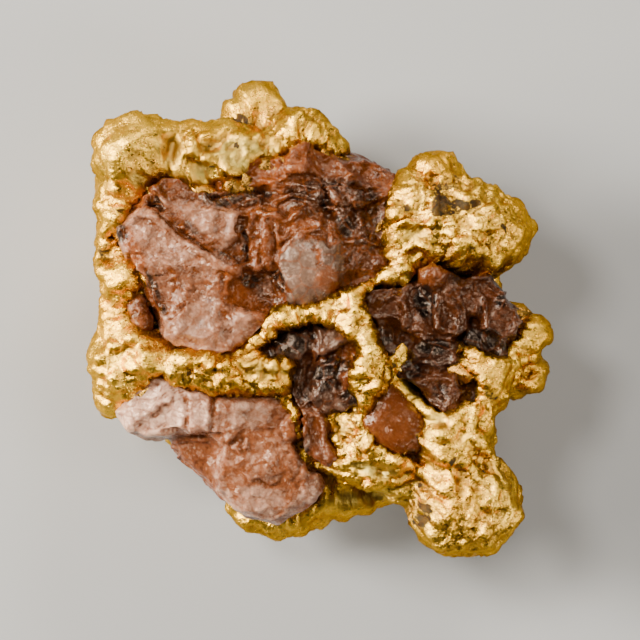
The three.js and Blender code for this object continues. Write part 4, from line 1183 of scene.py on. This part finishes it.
# The gold: the directions are cast on to the lumps, and the points are evened out and then moved by
# the placed relief, the texture and the facets
def makeGold():
    directions, faces = closedGrid(gold["across"], gold["rimTilt"])
    socketDepth = TopMap(socketDepthMap)
    spread = (gold["heartRadius"], gold["heartRadius"])

    def outside(p):
        return goldOutside(p, socketDepth)

    points = castInwards(outside, gold["heart"], spread, directions, gold["reach"])
    points = relax(points, faces, outside, gold["rounds"])
    points = points + goldRelief(points, vertexNormals(points, faces))
    normals = vertexNormals(points, faces)
    points = points + normals * goldTexture(points)[:, None]
    foil = weights(points[:, 0], points[:, 1], gold["foil"])
    crinkled = np.maximum(foil, 0.5 - 0.2 * weights(points[:, 0], points[:, 1], gold["calm"]))
    facets = hewn(points, faces, gold["facet"], 71, gold["facetTip"], gold["facetDepth"])
    points = points + crinkled[:, None] * facets
    points = keepInBox(points)
    normals = vertexNormals(points, faces)
    hollow = hollowness(points, faces, normals, 1)
    piece = putMesh("nugget_gold", points, faces, goldMasks(points, hollow, normals[:, 2]), goldMaterial())
    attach(piece, "root")
    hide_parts("gold")
    print("gold", len(points), "points")


# Tints of the quartz: x, y, half widths, turn, strength
stones = {
    # paler stone, partly a painted highlight on faces that catch the light
    "pale": [
        (-11.2, 5.7, 2.2, 1.3, -30, 0.85), (-9.6, 8.0, 1.8, 0.9, -28, 0.8),
        (-9.0, 1.4, 2.0, 0.8, 0, 0.65), (-9.6, -0.6, 2.0, 1.2, 0, 0.8), (-6.2, -0.4, 1.0, 1.0, 0, 0.5),
        (-1.6, 4.3, 1.9, 2.1, 15, 1.0), (-13.4, -7.3, 2.0, 1.2, 0, 0.95), (-9.5, -7.2, 0.9, 1.2, 0, 0.75),
        (-5.8, -7.4, 2.2, 1.2, 0, 0.55), (-4.6, -14.2, 2.4, 1.4, 0, 0.75), (1.4, -6.6, 0.5, 0.45, 0, 0.9),
        (-4.2, 2.7, 0.5, 0.7, 0, 0.9), (-6.9, 5.0, 0.6, 0.5, 0, 0.6), (5.0, -8.6, 1.2, 1.4, 20, 0.4),
    ],
    "rust": [
        (-14.7, 5.6, 0.7, 2.4, 25, 0.8), (-7.1, 2.4, 1.2, 1.4, 20, 1.0), (-6.9, 3.8, 0.8, 0.6, 0, 0.8),
        (-0.1, 5.2, 0.25, 0.6, -15, 1.0), (0.6, 3.2, 1.2, 1.2, 0, 0.6), (2.0, -4.4, 0.6, 0.6, 0, 1.0),
        (8.8, 3.6, 0.9, 0.9, 0, 0.9), (-1.1, 7.9, 1.4, 1.3, 0, 0.6), (4.6, 1.4, 1.0, 1.4, 0, 0.4),
        (-13.6, 9.4, 1.2, 0.8, 0, 0.6), (5.8, -6.4, 1.4, 0.8, 0, 0.7), (6.4, -10.0, 1.8, 0.7, -20, 0.7),
        (-10.0, -10.4, 3.0, 0.8, -38, 0.45), (-2.0, -9.6, 0.8, 2.2, 0, 0.7),
        (-0.4, -8.2, 1.2, 1.4, 0, 0.7), (0.4, -10.5, 1.0, 0.9, 0, 0.7), (-5.9, -2.0, 1.6, 0.5, 20, 0.7),
        (-4.6, 0.3, 0.7, 1.2, 30, 0.7), (2.6, -2.9, 1.4, 0.4, 35, 0.8), (3.0, 5.0, 1.4, 1.6, 0, 0.3),
        (10.2, -4.6, 1.2, 0.6, 0, 0.4), (-4.6, 5.2, 1.4, 1.6, 0, 0.5), (12.0, 2.2, 1.6, 1.0, 0, 0.3),
        (-3.0, 12.0, 2.0, 0.8, 0, 0.5),
    ],
    # grey stone, partly a painted sheen where the surface glints
    "grey": [
        (-1.8, 4.3, 1.5, 1.9, 15, 1.0), (1.45, -6.7, 0.45, 0.4, 0, 1.0), (0.9, -1.8, 0.7, 0.6, 0, 0.8),
        (-10.0, -0.6, 1.6, 1.2, 0, 0.5), (-10.4, 7.4, 1.2, 0.6, -35, 0.6), (-6.9, 5.4, 0.5, 0.4, 0, 0.8),
        (-1.6, -8.2, 0.4, 0.7, 0, 0.5), (-0.8, -9.5, 0.5, 0.4, 0, 0.8), (-5.4, -7.2, 1.6, 0.8, 0, 0.5),
    ],
    "dark": [
        (-5.6, 3.1, 0.75, 0.7, 0, 1.0), (-15.9, 6.9, 0.9, 1.0, 0, 0.9), (-12.9, 2.0, 0.5, 2.2, 20, 0.8),
        (-8.0, 9.6, 2.0, 0.8, -12, 0.75), (-5.2, 10.1, 2.2, 0.3, -4, 0.95),
        (-10.1, 7.3, 1.1, 0.45, -35, 0.6), (0.4, 9.6, 3.8, 2.2, -8, 0.6), (3.6, 8.0, 1.6, 3.6, 0, 0.75),
        (3.0, 4.6, 2.0, 1.8, 0, 0.5), (-3.3, 3.2, 0.5, 1.2, 10, 0.9), (2.0, 7.5, 0.7, 0.9, 0, 0.9),
        (0.5, 9.2, 0.4, 0.8, 0, 0.9), (-5.9, 6.2, 0.3, 1.8, 5, 0.8), (-2.4, -1.8, 1.8, 1.0, -8, 0.8),
        (-0.7, -1.1, 0.35, 0.45, 0, 1.0), (1.3, -3.7, 1.2, 0.7, -10, 0.95), (0.6, -4.9, 1.6, 1.0, 0, 0.6),
        (2.5, -5.9, 0.9, 0.8, 0, 0.8), (-1.4, -5.0, 0.9, 2.0, 0, 0.6), (8.3, 1.5, 1.0, 1.5, 0, 1.0),
        (8.9, -2.1, 1.6, 0.8, 0, 0.95), (13.4, -1.5, 1.2, 0.9, -30, 1.0), (7.2, -4.0, 0.9, 0.6, -20, 0.9),
        (14.3, 1.5, 0.6, 0.5, 0, 0.9), (9.5, -5.6, 0.7, 0.8, 0, 0.7), (11.0, -0.6, 2.0, 1.4, 0, 0.5),
        (5.0, -1.6, 0.8, 1.0, 0, 0.7), (-2.0, -12.9, 0.3, 1.2, 20, 0.5),
        (-10.6, -9.9, 1.8, 0.6, -30, 0.4), (-12.6, 9.0, 0.35, 0.9, 20, 0.9),
        (7.3, -10.7, 0.7, 0.6, 0, 0.8), (-1.6, -10.6, 0.5, 1.4, 0, 0.6), (11.6, -5.4, 0.9, 1.0, 0, 0.6),
    ],
    "cracks": [
        # depth, half width and the line
        (1.0, 0.3, ((-13.4, 9.2), (-12.8, 8.9), (-11.5, 7.7), (-10.3, 6.5), (-8.9, 5.8), (-7.7, 5.2),
         (-6.4, 4.5))),
        (0.15, 0.2, ((-13.7, 4.0), (-12.4, 4.1), (-9.4, 3.9), (-7.2, 3.4))),
        (0.2, 0.2, ((-12.3, 0.6), (-11.2, 1.1), (-9.3, 2.0), (-7.4, 1.5), (-6.0, 1.1))),
        (0.8, 0.25, ((-5.95, 8.2), (-6.0, 6.4), (-5.9, 4.6))),
        (0.6, 0.2, ((-3.5, 7.2), (-3.6, 5.4), (-3.4, 3.4), (-2.6, 2.2))),
        (0.5, 0.18, ((-4.8, 8.2), (-4.8, 6.0), (-4.6, 4.4))),
        (0.8, 0.25, ((-8.6, 10.0), (-7.0, 10.2), (-5.2, 10.2), (-3.5, 10.0), (-1.6, 10.4))),
        (0.5, 0.2, ((-9.0, 9.2), (-6.6, 8.8), (-4.0, 9.0), (-1.8, 9.4), (0.4, 8.8), (2.4, 8.6))),
        (0.6, 0.2, ((0.2, 10.6), (0.5, 9.0), (0.4, 7.4), (1.0, 6.0))),
        (0.5, 0.2, ((-3.0, 11.4), (-0.6, 11.2), (1.8, 11.0), (4.0, 10.0))),
        (0.5, 0.2, ((2.2, 9.8), (2.8, 8.0), (3.0, 6.0), (2.0, 4.2))),
        (0.35, 0.18, ((-3.4, 5.4), (-2.2, 6.6), (0.4, 6.5), (1.5, 6.3))),
        (0.35, 0.12, ((-0.25, 5.7), (-0.05, 5.1), (0.05, 4.5))),
        (0.3, 0.18, ((-8.4, -6.0), (-8.5, -7.2), (-8.6, -8.6))),
        (0.25, 0.18, ((-10.8, -5.6), (-10.4, -6.6), (-10.6, -8.2))),
        (0.4, 0.2, ((-12.4, -9.0), (-10.2, -9.1), (-8.3, -9.3), (-7.1, -10.0), (-6.1, -9.1),
         (-3.7, -8.7))),
        (0.45, 0.18, ((-6.1, -9.6), (-6.2, -11.6), (-5.0, -12.9), (-3.4, -13.3), (-2.8, -12.3),
         (-2.6, -10.5))),
        (0.4, 0.16, ((-3.1, -15.4), (-2.2, -13.4), (-1.6, -11.8))),
        (0.5, 0.2, ((-2.4, -7.2), (-3.2, -8.2), (-2.8, -9.6))),
        (0.6, 0.2, ((-0.6, -3.3), (0.6, -3.1), (1.8, -2.4), (2.8, -1.8))),
        (0.5, 0.2, ((-0.6, -0.6), (-0.4, -2.0), (-0.6, -3.3), (-1.0, -5.0), (-0.8, -7.0))),
        (0.5, 0.2, ((1.8, -3.0), (1.4, -4.4), (1.6, -5.6))),
        (0.6, 0.25, ((7.4, 3.0), (7.2, 1.6), (7.4, 0.0), (6.4, -1.6))),
        (0.5, 0.2, ((9.6, 2.4), (10.8, 1.4), (11.4, -0.4), (11.0, -1.6))),
        (0.5, 0.2, ((6.8, -1.2), (8.8, -1.4), (10.6, -1.6))),
        (0.5, 0.2, ((12.2, 2.6), (12.8, 0.8), (12.4, -0.8), (13.2, -2.2))),
        (0.5, 0.2, ((7.0, -4.2), (8.8, -4.0), (10.6, -3.8))),
    ],
}


# Relief of the quartz seen from above: cracks cut in, with softened lips
def quartzRelief(x, y):
    p = np.stack([x, y, np.zeros_like(x)], 1)
    wx = x + 0.2 * layered(p, 1.0, 3, 91)
    wy = y + 0.2 * layered(p, 1.0, 3, 97)
    height = np.zeros_like(x)
    for depth, width, line in stones["cracks"]:
        away = distanceToPath(wx, wy, line)
        height -= 0.7 * depth * np.clip(1 - away / (width * 1.3), 0, 1) ** 0.8
        height -= 0.2 * depth * np.exp(-(away / 0.6) ** 2)
    return height


# The corners of the smallest convex outline around some points, anticlockwise
def hull(points):
    rows = []
    for order in (sorted(points), sorted(points, reverse=True)):
        row = []
        for x, y in order:
            while len(row) > 1 and (row[-1][0] - row[-2][0]) * (y - row[-2][1]) <= (
                row[-1][1] - row[-2][1]
            ) * (x - row[-2][0]):
                row.pop()
            row.append((x, y))
        rows += row[:-1]
    return rows


# About how far points are outside a block: the furthest of its sides, which lean in above and
# below, of its sloping top and of four chipped edges
def outsideBlock(p, corners, top, slope, roundness, seed):
    x, y, z = p.T
    corners = hull(corners)
    middle = np.mean(corners, axis=0)
    side = np.full(len(p), -99.0)
    for (ax, ay), (bx, by) in zip(corners, corners[1:] + corners[:1]):
        length = math.hypot(bx - ax, by - ay)
        side = np.maximum(side, ((x - ax) * (by - ay) - (y - ay) * (bx - ax)) / length)
    side = side + np.minimum(0.3 * ((z - top + 4) / 4) ** 4, 9) - 0.35
    lid = z - top - slope[0] * (x - middle[0]) - slope[1] * (y - middle[1])
    distance = -meltTogether(-side, -lid, roundness)
    for i in range(4):
        chance = [float(scatter(np.array([i]), np.array([seed]), np.array([n]), 5)[0]) for n in range(3)]
        angle = (i + chance[0]) * math.pi / 2
        reach = max(cx * math.cos(angle) + cy * math.sin(angle) for cx, cy in corners)
        over = x * math.cos(angle) + y * math.sin(angle) - reach
        lean = 0.35 + 0.4 * chance[1]
        chip = over * lean + lid * math.sqrt(1 - lean * lean) + 0.05 + 0.25 * chance[2]
        distance = np.maximum(distance, chip)
    return distance


# The distance outside a whole mass, and the number of the block that is nearest (0 is the bed)
def quartzField(p, mass, number):
    distance = -meltTogether(-lumpsOutside(p) - 0.4, mass["bedTop"] - p[:, 2], 0.6)
    nearest = np.zeros(len(p), int)
    for b, (corners, top, slope, tint) in enumerate(mass["blocks"], 1):
        roundness = mass["roundness"] + 1.6 * tint[3]
        block = outsideBlock(p, corners, top, slope, roundness, 100 * number + b)
        nearest = np.where(block < distance, b, nearest)
        distance = meltTogether(distance, block, 0.2)
    edge = mass["edge"](p[:, 0], p[:, 1]) - 0.35
    return np.maximum(np.maximum(distance, edge), mass["floor"] - p[:, 2]), nearest


# Fine relief of broken quartz: swellings, grain, and hairlines where two cells are equally near
def quartzTexture(p, smooth):
    warped = p + 0.2 * np.stack([layered(p, 1.2, 2, s) for s in (13, 17, 19)], 1)
    near, second, _ = cellNoise(warped, 1.9, 101)
    broken = smoothStep(layered(p, 3.0, 2, 127), -0.1, 0.4)
    hair = 0.06 * np.exp(-((second - near) / 0.14) ** 2) * broken
    swell = 0.12 * layered(p, 1.8, 3, 107)
    grain = 0.02 * layered(p, 0.4, 2, 109)
    return (swell + grain - hair) * (1 - 0.8 * smooth)


# The tints of the blocks, ragged and a little soft where two blocks meet
def blockTints(p, faces, mass, number):
    tints = np.array([stoneWork["bedTint"]] + [block[3] for block in mass["blocks"]])
    shifted = p + 0.15 * layered(p, 0.8, 3, 113)[:, None]
    masks = tints[quartzField(shifted, mass, number)[1]]
    for _ in range(3):
        masks = neighbourMean(masks, faces)
    return masks


# The quartz's masks: the blocks' tints and the placed ones, with rust along cracks and in hollows, which is
# iron stain, and dark in the deepest cracks and in hollows, which is painted shade
def quartzMasks(p, hollow, tints):
    x, y = p[:, 0], p[:, 1]
    ragged = layered(p, 0.8, 3, 113)
    masks = tints.copy()
    for m, tint in enumerate(("pale", "rust", "dark", "grey")):
        for cx, cy, a, b, turn, strength in stones[tint]:
            shape = spot(x + 0.2 * ragged, y - 0.2 * ragged, (cx, cy), (a * 1.2, b * 1.2), turn, 0.5)
            masks[:, m] = np.maximum(masks[:, m], strength * shape)
    crack = np.zeros_like(x)
    for depth, width, line in stones["cracks"]:
        away = distanceToPath(x + 0.1 * ragged, y + 0.1 * ragged, line)
        crack = np.maximum(crack, depth * np.clip(1 - away / (width * 2), 0, 1))
    # hollows by hollowness: pale and grey fade there and in cracks, rust (iron stain) and dark (painted
    # shade) are laid in
    crevice = smoothStep(hollow, 0.004, 0.03)
    fade = 1 - np.clip(crack + 0.6 * crevice, 0, 1)
    masks[:, 0] *= fade
    masks[:, 3] *= fade
    masks[:, 1] = np.maximum(masks[:, 1], 0.8 * np.maximum(crack, crevice * 0.8))
    # dark in the deepest cracks and in hollows: painted shade
    masks[:, 2] = np.maximum(masks[:, 2], np.maximum(smoothStep(crack, 0.4, 1.0), 0.5 * crevice) * 0.8)
    return masks


# What all the quartz masses share, in mm and degrees
stoneWork = {
    "reach": 17,
    "rimTilt": 88,
    "rounds": 16,
    "facets": [
        # size, first seed, tip, most depth
        (2.6, 200, 0.3, 0.4), (0.85, 300, 0.28, 0.15),
    ],
    # grey of grey stone and of a painted sheen
    "grey": (0.1, 0.064, 0.045),
    "bedTint": (0.0, 0.3, 0.45, 0.0),
}

finishes = {
    # base colour, pale colour (partly a painted highlight), rust colour, dark colour,
    # roughness, how strongly light goes in, height of the fine facets in mm
    "stained_quartz": (
        (0.06, 0.014, 0.0025), (0.42, 0.2, 0.12), (0.22, 0.05, 0.007), (0.005, 0.0025, 0.0015),
        0.2, 0.16, 0.19,
    ),
    "pink_quartz": (
        (0.15, 0.046, 0.017), (0.66, 0.4, 0.28), (0.22, 0.06, 0.014), (0.035, 0.012, 0.005),
        0.22, 0.25, 0.14,
    ),
    "dark_quartz": (
        (0.032, 0.0084, 0.0025), (0.15, 0.066, 0.04), (0.12, 0.028, 0.005), (0.002, 0.0017, 0.0017),
        0.22, 0.03, 0.19,
    ),
    "honey_quartz": (
        (0.09, 0.022, 0.004), (0.15, 0.048, 0.016), (0.12, 0.026, 0.004), (0.012, 0.005, 0.003),
        0.18, 0.2, 0.12,
    ),
}


# Stained stone: the four tints are laid over the base by their masks, ragged by noise, and small
# tipped flakes glint. The pale tint is partly paler stone and partly a painted highlight; the grey is partly
# grey stone and partly a painted sheen
def quartzMaterial(name, slot):
    base, pale, rust, dark, roughness, depth, facets = finishes[slot]
    shop = Shop(name.replace("_", " "))
    paleMask, rustMask, darkMask, greyMask = shop.masks()
    broad = shop.noise(3.2, 4, 0.6, 0.6)
    fine = shop.noise(0.55, 5, 0.65, 0.3)
    colour = shop.mix(broad.ramp(0.35, 0.68), base, tuple(c * 1.45 for c in base))
    # pale, with paler flecks below: partly a painted highlight
    colour = shop.mix((paleMask + (fine - 0.5) * 1.2 + (broad - 0.5) * 0.9).ramp(0.3, 1.1), colour, pale)
    paler = tuple(min(c * 1.35, 0.8) for c in pale)
    colour = shop.mix(fine.ramp(0.5, 0.72) * paleMask * 0.35, colour, paler)
    # grey: partly a painted sheen
    colour = shop.mix((greyMask + (fine - 0.5) * 0.7).ramp(0.25, 0.85) * 0.85, colour, stoneWork["grey"])
    colour = shop.mix((rustMask + (fine - 0.5) * 0.8).ramp(0.25, 0.85) * 0.85, colour, rust)
    colour = shop.mix((darkMask + (broad - 0.5) * 0.8).ramp(0.3, 0.8) * 0.92, colour, dark)
    veins = shop.cells(1.3, "DISTANCE_TO_EDGE")
    colour = shop.mix((1 - veins.ramp(0.0, 0.09)) * 0.45, colour, tuple(c * 0.8 for c in rust))
    rough = roughness + (fine - 0.5) * 0.3 + (1 - paleMask) * 0.08
    flakes = shop.flakes(0.9) * 1.6 + shop.flakes(0.38) + shop.flakes(0.2) * 0.5
    bump = shop.bump(flakes * (1 - greyMask * 0.7) + 0.4 * fine, facets)
    return shop.finish({
        "Base Color": colour, "Roughness": rough.clamp(), "Normal": bump,
        "Subsurface Weight": depth, "Subsurface Radius": (1.0, 0.45, 0.3), "Subsurface Scale": 0.9 * mm,
        "Specular Tint": (1.0, 0.74, 0.56, 1), "Coat Weight": 0.1, "Coat Roughness": 0.1, "IOR": 1.5,
    })


# One quartz mass: cast, evened out, cracked, textured and hewn twice, less where it is smooth
def makeQuartz(number, name, mass):
    directions, faces = closedGrid(mass["across"], stoneWork["rimTilt"])
    mass["edge"] = TopMap(lambda x, y: distanceToOutline(x, y, mass["outline"]))

    def outside(p):
        return quartzField(p, mass, number)[0]

    points = castInwards(outside, mass["heart"], mass["spread"], directions, stoneWork["reach"])
    points = relax(points, faces, outside, stoneWork["rounds"])
    relief = TopMap(quartzRelief)
    normals = vertexNormals(points, faces)
    up = smoothStep(normals[:, 2], 0.1, 0.6)
    points = points + normals * (relief(points[:, 0], points[:, 1]) * up)[:, None]
    normals = vertexNormals(points, faces)
    tints = blockTints(points, faces, mass, number)
    smooth = np.maximum(tints[:, 3], mass["smooth"])
    points = points + normals * quartzTexture(points, smooth)[:, None]
    rough = (1 - 0.9 * smooth)[:, None]
    for size, seed, tip, limit in stoneWork["facets"]:
        points = points + rough * hewn(points, faces, size, seed + number, tip, limit)
    points = keepInBox(points)
    normals = vertexNormals(points, faces)
    hollow = hollowness(points, faces, normals, 1)
    slots = {row["node"]: row["material_slot"] for row in frame["record"]["subparts"]}
    masks = quartzMasks(points, hollow, tints)
    piece = putMesh(name + "_stone", points, faces, masks, quartzMaterial(name, slots[name]))
    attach(piece, "root")
    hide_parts(name)
    print(name, len(points), "points")


# The floor: one square
def makeFloor():
    mesh = bpy.data.meshes.new("floor")
    half = studio["floorHalf"] * mm
    corners = [(-half, -half, 0), (half, -half, 0), (half, half, 0), (-half, half, 0)]
    mesh.from_pydata(corners, [], [(0, 1, 2, 3)])
    mesh.materials.append(plainMaterial("pale floor", studio["floor"], 0.7))
    floor = bpy.data.objects.new("floor", mesh)
    bpy.context.collection.objects.link(floor)


# An even, weak light from all around
def makeWorld():
    world = bpy.data.worlds.new("studio")
    bpy.context.scene.world = world
    world.use_nodes = True
    background = world.node_tree.nodes["Background"]
    background.inputs["Color"].default_value = (*studio["world"], 1)
    background.inputs["Strength"].default_value = studio["worldStrength"]


makeCamera()
makeLamps()
makeWorld()
makeFloor()
print("studio ready")
makeGold()
for number, (name, mass) in enumerate(quartz.items()):
    makeQuartz(number, name, mass)
